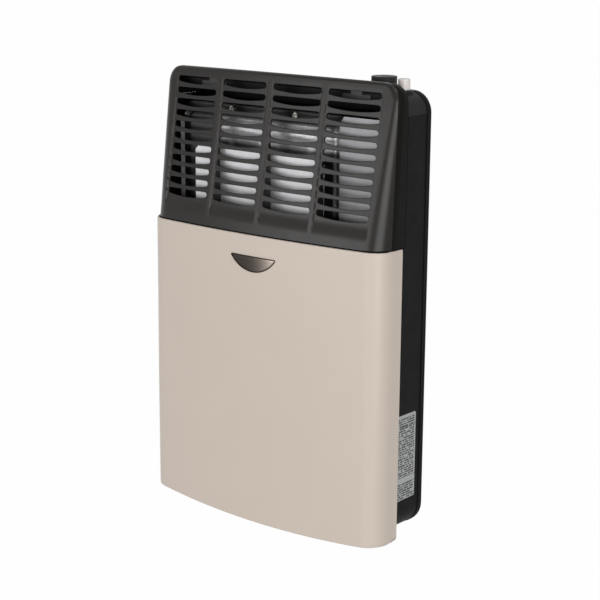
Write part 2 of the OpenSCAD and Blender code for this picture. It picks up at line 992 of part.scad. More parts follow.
module shield_screws() {
  color(steel) from_base() {
    for (x = shield_foot_xs, z = shield_foot_zs)
      screw_y(x, cham_face_y - 1, z, 4, 5);
    for (z = right_screw_zs)
      screw_y(bar_screw_x, right_shield_y - shield_t, z, 4, 5);
  }
}

module top_deflector() {
  color(casing_black) from_base() {
    span([-165, -2.05, 499], [100, -1.05, 511]);
    translate([-165, -1.25, 510]) rotate([194, 0, 0]) cube([265, 45, 1]);
  }
}

// ---------------------------------------------------------------- burner

module main_burner() {
  color(cast_grey) from_base() difference() {
    union() {
      rod_x(-120, burner_y, burner_z, 13, 180);
      rod_x(60, burner_y, burner_z, 13.5, 8);
      // flat top strip that holds the ports
      span([-112, burner_y - 5, burner_z + 8], [52, burner_y + 5, burner_z + 14.5]);
      // lugs on the chamber's rear wall
      for (x = burner_lug_xs) {
        span([x - 6, -26, burner_z - 7], [x + 6, -16.02, burner_z + 7]);
        span([x - 6, -19, burner_z - 27], [x + 6, -16.02, burner_z + 7]);
      }
    }
    for (x = burner_lug_xs)
      rod_y(x, -10, burner_z - 20, 2.05, 20);
    rod_x(-116, burner_y, burner_z, 10, 190);
    for (x = [-106:6:48])
      rod_z(x, burner_y, burner_z, 1.5, 20);
  }
}

module mixing_tube() {
  color(steel) from_base() difference() {
    union() {
      rod_x(62, burner_y, burner_z, 9.2, 38);
      rod_x(68.1, burner_y, burner_z, 12, 2);
    }
    rod_x(60, burner_y, burner_z, 7.6, 50);
    // primary air holes
    for (a = [0, 90, 180, 270])
      translate([94, burner_y, burner_z]) rotate([a, 0, 0]) cylinder(r = 2.5, h = 12);
  }
}

module burner_injector() {
  color(brass_colour) from_base() difference() {
    union() {
      rod_x(100, burner_y, burner_z, 9.2, 2);
      rod_x(97, burner_y, burner_z, 4, 5);
      rod_x(102, burner_y, burner_z, 6.5, 7);
    }
    rod_x(99, burner_y, burner_z, 2, 12);
    rod_x(96, burner_y, burner_z, 0.7, 5);
  }
}

module burner_feed_tube() {
  color(copper_colour) from_base()
    run_of_tube([
      [109.02, burner_y, burner_z],
      [feed_x, burner_y, burner_z],
      [feed_x, burner_y, valve_z0 - 0.02]
    ], 3);
}

module pilot_burner() {
  color(steel) from_base() difference() {
    union() {
      // bracket standing on the burner's top strip
      span([-12, burner_y - 5, burner_z + 14.52], [2, burner_y + 5, burner_z + 15.5]);
      span([0.8, -44, burner_z + 14.52], [2, -27, lead_z + 5]);
      // hooded pilot head
      rod_x(-12, -30, lead_z, 3.6, 12.9);
    }
    rod_x(-13, -30, lead_z, 1.4, 20);
    span([-11, -32, lead_z + 1], [-6, -28, lead_z + 6]);
    rod_x(-5, -36, lead_z, 1.65, 20);
    rod_x(-5, -42, lead_z, 2.05, 20);
  }
}

module pilot_tube() {
  color([0.75, 0.75, 0.76]) from_base()
    run_of_tube([[2.02, -30, lead_z], [valve_x0 - 0.02, -30, lead_z]], 2);
}

module thermocouple() {
  x_turn = 98;
  color(copper_colour) from_base() {
    rod_x(-14, -36, lead_z, 1.6, 18);
    run_of_tube([
      [3.9, -36, lead_z],
      [x_turn, -36, lead_z],
      [x_turn, -36, lead_z + 18],
      [valve_x0 - 0.02, -36, lead_z + 18]
    ], 1.2);
  }
}

module spark_electrode() {
  color([0.9, 0.88, 0.84]) from_base() {
    rod_x(-6, -42, lead_z, 2, 16);
    rod_x(-13, -42, lead_z, 0.8, 7.1);
  }
}

module ignition_lead() {
  run_x = 104;
  color([0.55, 0.1, 0.08]) from_base()
    run_of_tube([
      [10.02, -42, lead_z],
      [run_x, -42, lead_z],
      [run_x, -42, 455],
      [button_x, -42, 455],
      [button_x, control_y, 455],
      [button_x, control_y, 467.98]
    ], 1.8);
}

module lead_plate() {
  wall_x = cham_x1 - 2;
  color(steel) from_base() difference() {
    span([wall_x + 0.02, -47, lead_z - 10], [wall_x + 1.5, -25, lead_z + 10]);
    rod_x(80, -30, lead_z, 2.05, 20);
    rod_x(80, -36, lead_z, 1.25, 20);
    rod_x(80, -42, lead_z, 1.85, 20);
  }
}

// ---------------------------------------------------------------- gas valve

module valve_body() {
  color([0.62, 0.62, 0.63]) from_base() difference() {
    union() {
      span([valve_x0, valve_y0, valve_z0], [valve_x1, valve_y1, valve_z1]);
      // magnet unit on the front
      rod_y((valve_x0 + valve_x1) / 2, valve_y0, 168, 9, 12);
      // fixing ears
      for (x = valve_ear_xs)
        span([x - 6, -12, valve_ear_z - 6], [x + 6, -8, valve_ear_z + 6]);
    }
    rod_z(knob_x, control_y, 172, cavity_r, 40);
    for (x = valve_ear_xs)
      rod_y(x, 0, valve_ear_z, 2.05, 20);
  }
}

module valve_cover() {
  color([0.5, 0.5, 0.52]) from_base() difference() {
    union() {
      span([valve_x0 + 2, valve_y0 + 4, valve_z1], [valve_x1 - 2, valve_y1 - 2, valve_z1 + 4]);
      rod_z(knob_x, control_y, valve_z1, 8.5, 9);
    }
    rod_z(knob_x, control_y, valve_z1 - 1, spindle_r + run_gap, 12);
  }
}

module valve_spindle() {
  color(brass_colour) from_base() rod_z(knob_x, control_y, plunger_z + 0.05, spindle_r, 30);
}

module valve_plunger() {
  color(steel) from_base() {
    rod_z(knob_x, control_y, plunger_z - 2, 9, 2);
    rod_z(knob_x, control_y, plunger_z - 10, 3, 8.01);
  }
}

module valve_spring() {
  color(steel) from_base()
    translate([knob_x, control_y, 172.02])
      coil_spring(6.8, 0.7, plunger_z - 2 - 172.06, 7);
}

module valve_bracket() {
  color(galvanised) from_base() difference() {
    union() {
      span([valve_ear_xs[0] - 7, -8, valve_ear_z - 9], [valve_ear_xs[1] + 7, -7, valve_ear_z + 9]);
      for (x = [valve_ear_xs[0] - 7, valve_ear_xs[1] + 6])
        span([x, -8, valve_ear_z - 9], [x + 1, -sheet, valve_ear_z + 9]);
    }
    for (x = valve_ear_xs)
      rod_y(x, 0, valve_ear_z, 2.05, 20);
  }
}

module valve_screws() {
  color(steel) from_base()
    for (x = valve_ear_xs)
      screw_y(x, -12, valve_ear_z, 4, 8);
}

module inlet_pipe() {
  color(steel) from_base() difference() {
    rod_z(inlet_x, control_y, 62.02, 8, valve_z0 - 62.04);
    rod_z(inlet_x, control_y, 60, 6, 100);
  }
}

module gas_inlet_fitting() {
  color(brass_colour) from_base() difference() {
    union() {
      translate([inlet_x, control_y, 24]) cylinder(r = 15.6, h = 20, $fn = 6);
      rod_z(inlet_x, control_y, 44, 11, 18);
    }
    rod_z(inlet_x, control_y, 23, gas_r, 17);
    rod_z(inlet_x, control_y, 39, 6, 30);
  }
}

// ---------------------------------------------------------------- controls

module knob_rod() {
  color(steel) from_base() rod_z(knob_x, control_y, 228, rod_r, knob_z + 7 - 228);
}

module rod_coupling() {
  color(brass_colour) from_base() difference() {
    rod_z(knob_x, control_y, 219, 6.5, 21);
    rod_z(knob_x, control_y, 218, spindle_r + 0.02, 9);
    rod_z(knob_x, control_y, 226.9, rod_r + 0.02, 20);
  }
}

module knob_bush() {
  color([0.1, 0.1, 0.1]) from_base() difference() {
    union() {
      rod_z(knob_x, control_y, cap_top, 9, 1.5);
      rod_z(knob_x, control_y, cap_top - 7, 5.95, 7.5);
    }
    rod_z(knob_x, control_y, cap_top - 10, rod_r + run_gap, 20);
  }
}

module control_knob() {
  r = knob_d / 2;
  dome = 160;
  color([0.17, 0.17, 0.17]) from_base() difference() {
    intersection() {
      rod_z(knob_x, control_y, knob_z, r, knob_h + 0.9);
      // slightly domed top
      translate([knob_x, control_y, knob_z + knob_h + 0.7 - dome]) sphere(dome, $fn = 180);
    }
    rod_z(knob_x, control_y, knob_z - 1, rod_r + 0.02, 8);
    // shallow index mark towards the room
    span([knob_x - 0.6, control_y - r - 1, knob_z + knob_h - 0.4],
         [knob_x + 0.6, control_y - r + 7, knob_z + knob_h + 2]);
    // hollow underside
    difference() {
      rod_z(knob_x, control_y, knob_z - 1, r - 2, 5);
      rod_z(knob_x, control_y, knob_z - 2, 6, 7);
    }
  }
}

module piezo_body() {
  color([0.12, 0.12, 0.12]) from_base() difference() {
    union() {
      rod_z(button_x, control_y, 468, 8.8, 50);
      rod_z(button_x, control_y, 515, 9.1, 23);
      rod_z(button_x, control_y, boss_top, 10.5, 1.5);
    }
    rod_z(button_x, control_y, 500, button_d / 2 + run_gap, 50);
  }
}

module piezo_nut() {
  color([0.15, 0.15, 0.15]) from_base() difference() {
    translate([button_x, control_y, 526]) cylinder(r = 11.5, h = 5.98, $fn = 6);
    rod_z(button_x, control_y, 520, 9.15, 20);
  }
}

module piezo_button() {
  color([0.92, 0.88, 0.87]) from_base() intersection() {
    rod_z(button_x, control_y, 519, button_d / 2, 34);
    translate([button_x, control_y, button_top - 30]) sphere(30, $fn = 120);
  }
}

module piezo_spring() {
  color(steel) from_base()
    translate([button_x, control_y, 500.02])
      coil_spring(5.6, 0.6, 18.94, 7);
}

// ---------------------------------------------------------------- nodes

back_plate();
left_side_panel();
right_side_panel();
base_plate();
top_cap();
left_post();
upper_crossbar();
lower_crossbar();
front_panel();
panel_hooks();
upper_grille();
grille_brackets();
badge_rim();
badge_plate();
rating_plate();
chamber_back();
chamber_front();
chamber_gasket();
chamber_brackets();
chamber_screws();
flue_collar();
air_collar();
air_duct();
sight_glass();
glass_gasket();
glass_frame();
glass_screws();
front_heat_shield();
right_heat_shield();
top_deflector();
shield_screws();
main_burner();
mixing_tube();
burner_injector();
burner_feed_tube();
pilot_burner();
pilot_tube();
thermocouple();
spark_electrode();
ignition_lead();
lead_plate();
valve_body();
valve_cover();
valve_spindle();
valve_plunger();
valve_spring();
valve_bracket();
valve_screws();
knob_rod();
rod_coupling();
knob_bush();
control_knob();
piezo_body();
piezo_nut();
piezo_button();
piezo_spring();
gas_inlet_fitting();
inlet_pipe();
side_rivets();
casing_screws();
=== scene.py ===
import math

import bmesh
import bpy
import numpy as np
from mathutils import Matrix, Vector
from mathutils.geometry import delaunay_2d_cdt


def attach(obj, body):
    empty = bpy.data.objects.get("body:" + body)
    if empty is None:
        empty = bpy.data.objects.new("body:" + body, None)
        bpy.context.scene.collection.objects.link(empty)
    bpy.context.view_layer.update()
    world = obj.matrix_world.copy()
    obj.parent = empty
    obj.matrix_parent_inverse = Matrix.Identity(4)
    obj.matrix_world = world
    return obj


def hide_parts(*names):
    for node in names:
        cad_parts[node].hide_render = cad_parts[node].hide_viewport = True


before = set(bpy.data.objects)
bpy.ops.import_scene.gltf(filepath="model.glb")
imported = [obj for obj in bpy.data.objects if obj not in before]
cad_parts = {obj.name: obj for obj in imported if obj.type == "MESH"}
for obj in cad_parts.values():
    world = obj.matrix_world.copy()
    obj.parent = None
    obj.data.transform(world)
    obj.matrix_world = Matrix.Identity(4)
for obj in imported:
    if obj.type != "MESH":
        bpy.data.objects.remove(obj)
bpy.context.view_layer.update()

MM = 0.001
FIX_H = 282.0  # heights below are measured up from the heater's lowest edge, as in the source
SCENE = bpy.context.scene


def towards(azimuth, elevation):
    """Unit vector from the heater; azimuth 0 is the room side, elevation is above the horizon."""
    a, e = math.radians(azimuth), math.radians(elevation)
    return Vector((math.sin(a) * math.cos(e), -math.cos(a) * math.cos(e), math.sin(e)))


def add_object(name, data):
    ob = bpy.data.objects.new(name, data)
    SCENE.collection.objects.link(ob)
    return ob


# -------- camera

CAM_AZIMUTH, CAM_ELEVATION, CAM_ROLL = 39.36, 13.56, 0.41  # degrees, fitted to the photo
CAM_DISTANCE = 1.96446
CAM_LENS, CAM_SENSOR = 93.91, 36.0
CAM_SHIFT_PX = (-0.35, 0.3)
PICTURE_PX = 600
CAM_TARGET = (-0.01092, 0.0, 0.25579 + 0.0067 - 0.282)  # fitted above the lowest edge, less FIX_H


def add_camera():
    data = bpy.data.cameras.new("camera")
    data.lens = CAM_LENS
    data.sensor_width = CAM_SENSOR
    data.shift_x = CAM_SHIFT_PX[0] / PICTURE_PX
    data.shift_y = CAM_SHIFT_PX[1] / PICTURE_PX
    data.clip_start = 0.05
    data.clip_end = 60
    cam = add_object("camera", data)
    a, r = math.radians(CAM_AZIMUTH), math.radians(CAM_ROLL)
    back = towards(CAM_AZIMUTH, CAM_ELEVATION)
    right = Vector((math.cos(a), math.sin(a), 0))
    up = back.cross(right)
    right2 = math.cos(r) * right + math.sin(r) * up
    up2 = -math.sin(r) * right + math.cos(r) * up
    m = Matrix((right2, up2, back)).transposed().to_4x4()
    m.translation = Vector(CAM_TARGET) + back * CAM_DISTANCE
    cam.matrix_world = m
    SCENE.camera = cam


add_camera()

# -------- materials


def lin(r, g, b):
    """8-bit sRGB to linear RGBA."""
    out = []
    for c in (r, g, b):
        c = c / 255
        out.append(c / 12.92 if c <= 0.04045 else ((c + 0.055) / 1.055) ** 2.4)
    return (*out, 1.0)


# near black, for the joint line between the cap and the side panels and for painted shade
JOINT_AND_SHADE_BLACK = lin(4, 4, 4)
SEAM_Z, CAP_SHADE_Y = 0.2300, -0.046  # metres, in the row frame


def scaled(colour, f):
    return tuple(min(1.0, c * f) for c in colour[:3]) + (1.0,)


class Nodes:
    """Small helper round the node tree of its owner, a material or the world."""

    def __init__(self, owner):
        owner.use_nodes = True
        self.owner = owner
        self.tree = owner.node_tree

    def feed(self, node, inputs):
        """Fills inputs, given by name or number, with other nodes' sockets or with plain values."""
        for key, value in dict(inputs).items():
            if isinstance(value, bpy.types.NodeSocket):
                self.tree.links.new(value, node.inputs[key])
            else:
                node.inputs[key].default_value = value
        return node

    def add(self, kind, inputs=(), **props):
        node = self.tree.nodes.new(kind)
        for key, value in props.items():
            setattr(node, key, value)
        return self.feed(node, inputs)

    def math(self, operation, *values):
        """Math node whose operands are sockets or plain numbers."""
        return self.add("ShaderNodeMath", enumerate(values), operation=operation).outputs[0]

    def stretched(self, scale):
        return self.add("ShaderNodeMapping", {"Scale": scale, "Vector": self.coord}).outputs["Vector"]

    def noise(self, scale, detail=3.0, rough=0.5, vector=None):
        inputs = {"Scale": scale, "Detail": detail, "Roughness": rough, "Vector": vector or self.coord}
        return self.add("ShaderNodeTexNoise", inputs).outputs["Fac"]

    def cells(self, scale):
        return self.add("ShaderNodeTexVoronoi", {"Scale": scale, "Vector": self.coord})

    def ranged(self, value, lo, hi, a=0.3, b=0.7):
        inputs = {"From Min": a, "From Max": b, "To Min": lo, "To Max": hi, "Value": value}
        return self.add("ShaderNodeMapRange", inputs).outputs["Result"]

    def mix(self, fac, a, b):
        # 6 and 7 are the two colours; the node has other inputs of the same names
        return self.add("ShaderNodeMix", {"Factor": fac, 6: a, 7: b}, data_type="RGBA").outputs[2]

    def bevel(self, radius):
        return self.add("ShaderNodeBevel", {"Radius": radius}, samples=4).outputs["Normal"]

    def bump(self, height, strength, distance, normal=None):
        inputs = {"Strength": strength, "Distance": distance, "Height": height}
        if normal:
            inputs["Normal"] = normal
        return self.add("ShaderNodeBump", inputs).outputs["Normal"]

    def edge_mask(self, bevelled):
        """1 along sharp edges, 0 on flat faces."""
        flat = self.add("ShaderNodeNewGeometry").outputs["Normal"]
        dot = self.add("ShaderNodeVectorMath", {0: bevelled, 1: flat}, operation="DOT_PRODUCT")
        return self.ranged(dot.outputs["Value"], 0.0, 1.0, 0.995, 0.8)

    def axis(self, name):
        return self.add("ShaderNodeSeparateXYZ", {0: self.coord}).outputs[name]

    def set(self, **values):
        """Fills inputs of the surface shader, whose names are given with _ for the spaces."""
        self.feed(self.tree.nodes["Principled BSDF"], {k.replace("_", " "): v for k, v in values.items()})


def surface(name):
    """New material, with the object's own coordinates for its patterns."""
    n = Nodes(bpy.data.materials.new(name))
    n.coord = n.add("ShaderNodeTexCoord").outputs["Object"]
    return n


def coated(name, colour, rough, vary=0.05, grain=900, grain_depth=0.00004, strength=0.35, coat=0.0,
           metallic=0.0, radius=0.0004, worn=None, wear=0.35, specular=0.5, seam=None, shade_edge_y=None):
    """Painted, moulded or plated finish: blotchy colour, uneven gloss, fine surface grain, worn edges."""
    n = surface(name)
    blotch = n.noise(14, 4, 0.6)
    base = n.mix(n.ranged(blotch, 0, 1), scaled(colour, 1 - vary), scaled(colour, 1 + vary))
    bevelled = n.bevel(radius)
    if worn:
        speck = n.noise(220, 5, 0.7)
        mask = n.math("MULTIPLY", n.edge_mask(bevelled), n.ranged(speck, 0, wear * 2, 0.42, 0.62))
        base = n.mix(mask, base, worn)
    if seam is not None:
        # a thin near-black line along the joint between the side panels and the top cap
        off = n.math("ABSOLUTE", n.math("SUBTRACT", n.axis("Z"), seam))
        base = n.mix(n.ranged(off, 1, 0, 0.0003, 0.0008), base, JOINT_AND_SHADE_BLACK)
    if shade_edge_y is not None:
        # painted shade: the front edge, behind the grille, is turned near black where shade falls
        base = n.mix(n.ranged(n.axis("Y"), 1, 0, shade_edge_y - 0.003, shade_edge_y), base, JOINT_AND_SHADE_BLACK)
    fine = n.noise(grain, 3, 0.6)
    n.set(
        Base_Color=base,
        Metallic=metallic,
        Roughness=n.ranged(n.noise(45, 5, 0.65), *rough),
        Normal=n.bump(fine, strength, grain_depth, bevelled),
        Specular_IOR_Level=specular,
    )
    if coat:
        n.set(Coat_Weight=coat, Coat_Roughness=0.2)
    return n.owner


def sheet_metal(name, colour, rough, vary):
    """Zinc or aluminium coated sheet with a faint crystal pattern and rolling lines."""
    n = surface(name)
    crystal = n.cells(140)
    lines = n.noise(1, 3, 0.6, n.stretched((60, 60, 2200)))
    shine = n.ranged(crystal.outputs["Distance"], 0, 1, 0, 0.75)
    tone = n.mix(shine, scaled(colour, 1 + vary), scaled(colour, 1 - vary))
    tone = n.mix(n.ranged(n.noise(9, 4, 0.6), 0, 0.5), tone, scaled(colour, 1 - 2.2 * vary))
    n.set(
        Base_Color=tone,
        Metallic=0.4,
        Roughness=n.ranged(n.noise(60, 4, 0.6), *rough),
        Normal=n.bump(lines, 0.12, 0.00005, n.bevel(0.0003)),
    )
    return n.owner


def plain_metal(name, colour, rough, tint=None):
    """Turned or drawn metal with faint marks and a little tarnish."""
    n = surface(name)
    vary = 0.08
    tone = n.mix(n.ranged(n.noise(160, 5, 0.65), 0, 1), scaled(colour, 1 - vary), scaled(colour, 1 + vary))
    if tint:
        tone = n.mix(n.ranged(n.noise(35, 4, 0.6), 0, 0.7, 0.45, 0.75), tone, tint)
    n.set(
        Base_Color=tone,
        Metallic=1.0,
        Roughness=n.ranged(n.noise(320, 4, 0.6), *rough),
        Normal=n.bump(n.noise(1400, 3, 0.6), 0.2, 0.00004, n.bevel(0.0003)),
    )
    return n.owner


# heights and places in metres, in the row frame
SHEEN_Z, SHEEN_HALF, SHEEN_FADE = 0.196, 0.007, 0.017
SHEEN_X = (-0.095, -0.085)
PAINTED_SHADE_Z = (0.2125, 0.2165)


def speckled_enamel(name):
    """Dark vitreous enamel with metallic speckle, one pale band of painted sheen, and painted shade above
    it.

    The band of painted sheen, its limit at the left and the painted shade are placed to look like the
    photo.
    """
    n = surface(name)
    fleck = n.ranged(n.cells(420).outputs["Color"], 0, 1, 0.62, 0.9)
    cloud = n.ranged(n.noise(25, 5, 0.65), 0, 1, 0.35, 0.65)
    amount = n.math("MULTIPLY", fleck, cloud)
    base = n.mix(amount, lin(34, 34, 36), lin(60, 60, 62))
    # painted sheen: a pale band across the flutes where they would reflect the light
    away = n.math("ABSOLUTE", n.math("SUBTRACT", n.axis("Z"), SHEEN_Z))
    band = n.ranged(away, 1, 0, SHEEN_HALF, SHEEN_FADE)
    streak = n.ranged(n.noise(1, 4, 0.6, n.stretched((26, 26, 240))), 0.45, 1, 0.36, 0.6)
    painted_sheen_mask = n.math("MULTIPLY", n.math("MULTIPLY", band, streak), n.ranged(n.axis("X"), 0, 1, *SHEEN_X))
    painted_sheen = n.mix(amount, lin(205, 205, 207), lin(228, 228, 230))
    base = n.mix(painted_sheen_mask, base, painted_sheen)
    # painted shade: near black above the band, at the chamber's top edge behind the upper slots
    base = n.mix(n.ranged(n.axis("Z"), 0, 1, *PAINTED_SHADE_Z), base, lin(9, 9, 9))
    bevelled = n.bevel(0.0009)
    base = n.mix(n.edge_mask(bevelled), base, lin(150, 150, 150))
    n.set(
        Base_Color=base,
        Metallic=0.45,
        Roughness=n.ranged(n.noise(90, 4, 0.6), 0.26, 0.4),
        Normal=n.bump(n.noise(700, 4, 0.6), 0.35, 0.00012, bevelled),
    )
    return n.owner


BADGE_REFLECTION_X, BADGE_REFLECTION_POWER = (-0.034, 0.034), 4.6


def brushed_badge():
    """Brushed plate with a painted reflection: a gradient from dark at the left to bright at the right,
    placed to look like the photo.
    """
    n = surface("badge_brushed")
    lines = n.noise(1, 4, 0.7, n.stretched((90, 90, 5200)))
    # painted reflection: the plate is dark at the left and bright at the right
    reflection_ramp = n.math("POWER", n.ranged(n.axis("X"), 0, 1, *BADGE_REFLECTION_X), BADGE_REFLECTION_POWER)
    tone = n.mix(reflection_ramp, lin(48, 42, 38), lin(216, 202, 188))
    tone = n.mix(n.ranged(lines, 0, 0.4), tone, lin(70, 61, 55))
    n.set(
        Base_Color=tone,
        Metallic=0.85,
        Roughness=n.ranged(lines, 0.3, 0.5),
        Normal=n.bump(lines, 0.25, 0.00005),
    )
    return n.owner


# the rating plate's printed layout, in metres in the row frame
LABEL_ROW = 0.0029
LABEL_Y = (-0.0545, -0.0175)
LABEL_BLANK_Z = (-0.2065, -0.1985)
LABEL_HEAD_Z = -0.1240
LABEL_RULES_Z = (-0.1360, -0.1985, -0.2065, -0.2215)
LABEL_RULE_HALF = 0.0003


def label_foil():
    """Rating plate: pale foil with ruled rows and blank bars, no lettering."""
    n = surface("label_foil_print")
    y, z = n.axis("Y"), n.axis("Z")

    def between(value, lo, hi):
        return n.math("MULTIPLY", n.math("GREATER_THAN", value, lo), n.math("LESS_THAN", value, hi))

    def without(ink, mask):
        return n.math("MULTIPLY", ink, n.math("SUBTRACT", 1.0, mask))

    row = n.math("DIVIDE", z, LABEL_ROW)
    place = {0: n.math("MULTIPLY", y, 1000.0), 2: n.math("MULTIPLY", n.math("FLOOR", row), 7.31)}
    comb = n.add("ShaderNodeCombineXYZ", place)
    dash = n.noise(0.32, 1.0, 0.5, comb.outputs[0])
    bars = n.math("MULTIPLY", between(n.math("FRACT", row), 0.22, 0.86), n.math("GREATER_THAN", dash, 0.44))
    bars = n.math("MULTIPLY", bars, between(y, *LABEL_Y))
    bars = without(bars, between(z, *LABEL_BLANK_Z))
    bars = without(bars, n.math("GREATER_THAN", z, LABEL_HEAD_Z))
    for level in LABEL_RULES_Z:
        off = n.math("ABSOLUTE", n.math("SUBTRACT", z, level))
        bars = n.math("MAXIMUM", bars, n.math("LESS_THAN", off, LABEL_RULE_HALF))
    ink = n.mix(n.math("MULTIPLY", bars, 0.95), lin(176, 178, 177), lin(10, 11, 12))
    tone = n.mix(n.ranged(n.noise(60, 4, 0.6), 0, 0.25), ink, lin(140, 142, 142))
    n.set(Base_Color=tone, Roughness=n.ranged(n.noise(80, 3, 0.5), 0.4, 0.55), Specular_IOR_Level=0.2,
          Normal=n.bump(n.noise(900, 2, 0.5), 0.15, 0.00003))
    return n.owner


def frosted_button():
    """Milky resin, a little warmer on the side that faces the knob."""
    n = surface("button_frosted")
    tone = n.mix(n.ranged(n.noise(70, 3, 0.5), 0, 1), lin(226, 218, 214), lin(238, 234, 230))
    tone = n.mix(n.ranged(n.axis("X"), 0.6, 0, 0.150, 0.158), tone, lin(206, 176, 168))
    n.set(Base_Color=tone, Roughness=n.ranged(n.noise(140, 4, 0.6), 0.28, 0.45),
          Normal=n.bump(n.noise(1200, 3, 0.5), 0.15, 0.00003, n.bevel(0.0004)),
          Subsurface_Weight=0.25, Subsurface_Radius=(0.004, 0.002, 0.002), Subsurface_Scale=0.5)
    return n.owner


def heat_glass():
    """Clear heat-resistant glass, slightly uneven in gloss."""
    n = surface("heat_glass_clear")
    n.set(Base_Color=n.mix(n.noise(40, 3, 0.5), lin(222, 228, 224), lin(240, 242, 240)),
          Roughness=n.ranged(n.noise(90, 4, 0.5), 0.04, 0.14), Transmission_Weight=0.9)
    return n.owner


BLACK_PAINT = dict(vary=0.05, grain=1500, grain_depth=0.00005, strength=0.3)
GRAPHITE = dict(vary=0.03, grain=2400, grain_depth=0.00006, strength=0.35, radius=0.0003)

M = {
    "panel": coated("champagne_enamel", lin(200, 187, 175), (0.32, 0.4), vary=0.012, grain=420,
                    grain_depth=0.00008, strength=0.1, coat=0.15, radius=0.0003),
    "grille": coated("graphite_resin", lin(25, 22, 20), (0.27, 0.33), specular=0.25, **GRAPHITE),
    # painted shade: darker, less glossy copy of the grille resin for the side returns
    "grille_shaded_side": coated("graphite_resin_painted_shade", lin(18, 17, 16), (0.5, 0.6), specular=0.06, **GRAPHITE),
    "casing": coated("black_paint", lin(15, 15, 16), (0.5, 0.62), radius=0.0005, worn=lin(50, 50, 50),
                     wear=0.2, specular=0.08, seam=SEAM_Z, **BLACK_PAINT),
    "casing_rear": coated("black_paint_rear", lin(13, 13, 14), (0.55, 0.65), specular=0.08, **BLACK_PAINT),
    # painted light: the cap's black is set lighter than the side panels' same paint, for the light falling
    # on the top
    "cap": coated("cap_paint_black_painted_lighter", lin(32, 32, 32), (0.45, 0.55), radius=0.0005, worn=lin(60, 60, 58),
                  wear=0.2, specular=0.1, seam=SEAM_Z, shade_edge_y=CAP_SHADE_Y, **BLACK_PAINT),
    "badge_dark": coated("badge_rim_dark", lin(34, 27, 23), (0.35, 0.5), vary=0.08, radius=0.0002,
                         specular=0.2, worn=lin(80, 70, 62), wear=0.2),
    "badge": brushed_badge(),
    "label": label_foil(),
    "enamel": speckled_enamel("speckled_enamel"),
    "gasket": coated("gasket_fibre_white", lin(214, 210, 200), (0.8, 0.95), vary=0.08, grain=700,
                     grain_depth=0.0003, strength=0.6, specular=0.2),
    "zinc": sheet_metal("aluminised_sheet", lin(170, 170, 172), (0.42, 0.54), vary=0.04),
    "pale_zinc": sheet_metal("aluminised_sheet_pale", lin(206, 206, 208), (0.42, 0.54), vary=0.03),
    "mid_zinc": sheet_metal("aluminised_sheet_mid", lin(146, 146, 148), (0.42, 0.54), vary=0.03),
    # painted shade: a darker copy of the sheet for the grille brackets, which sit in shade under the top
    "shaded_zinc": sheet_metal("sheet_painted_darker", lin(62, 62, 63), (0.5, 0.62), vary=0.05),
    # painted light: a paler copy of the sheet, so the left post looks lit though the lamps hardly reach it
    "painted_lit_zinc": sheet_metal("sheet_painted_lighter", lin(222, 222, 224), (0.42, 0.54), vary=0.03),
    "steel": plain_metal("drawn_steel", lin(176, 176, 178), (0.28, 0.42)),
    "fastener": plain_metal("zinc_plate", lin(200, 200, 198), (0.22, 0.36), tint=lin(176, 170, 140)),
    "spring": plain_metal("spring_wire", lin(150, 152, 156), (0.2, 0.34)),
    "brass": plain_metal("turned_brass", lin(206, 172, 98), (0.24, 0.38), tint=lin(150, 116, 64)),
    "copper": plain_metal("copper_tube", lin(204, 132, 96), (0.26, 0.4), tint=lin(120, 74, 54)),
    "iron": coated("cast_iron", lin(88, 88, 90), (0.6, 0.75), vary=0.12, grain=500, grain_depth=0.0003,
                   strength=0.6, metallic=0.6),
    "glass": heat_glass(),
    "ceramic": coated("white_ceramic_glazed", lin(232, 228, 218), (0.12, 0.25), vary=0.03, coat=0.4),
    "lead": coated("silicone_lead", lin(120, 34, 28), (0.45, 0.6), vary=0.06, grain=1200),
    "cast": coated("die_cast_alloy", lin(168, 168, 170), (0.45, 0.6), vary=0.08, grain=600,
                   grain_depth=0.0002, strength=0.5, metallic=0.85),
    "resin": coated("black_resin_moulded", lin(28, 28, 29), (0.4, 0.55), vary=0.05, grain=1800,
                    specular=0.3),
    "knob": coated("knob_resin_grey", lin(54, 54, 54), (0.38, 0.5), vary=0.04, grain=1800,
                   worn=lin(86, 86, 84), wear=0.25, specular=0.1),
    "button": frosted_button(),
}

NODE_LOOKS = {
    "casing": "left_side_panel right_side_panel",
    "casing_rear": "back_plate base_plate top_deflector",
    "cap": "top_cap",
    "painted_lit_zinc": "left_post",
    "zinc": "upper_crossbar lower_crossbar panel_hooks chamber_brackets flue_collar air_collar"
            " air_duct valve_bracket",
    "pale_zinc": "front_heat_shield",
    "mid_zinc": "right_heat_shield",
    "shaded_zinc": "grille_brackets",
    "panel": "front_panel",
    "grille": "upper_grille",
    "badge_dark": "badge_rim",
    "badge": "badge_plate",
    "label": "rating_plate",
    "enamel": "chamber_back chamber_front",
    "gasket": "chamber_gasket glass_gasket",
    "fastener": "chamber_screws glass_screws shield_screws valve_screws side_rivets casing_screws",
    "steel": "glass_frame mixing_tube pilot_burner pilot_tube lead_plate valve_plunger knob_rod inlet_pipe",
    "glass": "sight_glass",
    "iron": "main_burner",
    "brass": "burner_injector valve_spindle rod_coupling gas_inlet_fitting",
    "copper": "burner_feed_tube thermocouple",
    "ceramic": "spark_electrode",
    "lead": "ignition_lead",
    "cast": "valve_body valve_cover",
    "spring": "valve_spring piezo_spring",
    "resin": "knob_bush piezo_body piezo_nut",
    "knob": "control_knob",
    "button": "piezo_button",
}

for look, names in NODE_LOOKS.items():
    for node_name in names.split():
        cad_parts[node_name].material_slots[0].material = M[look]

# -------- mesh helpers


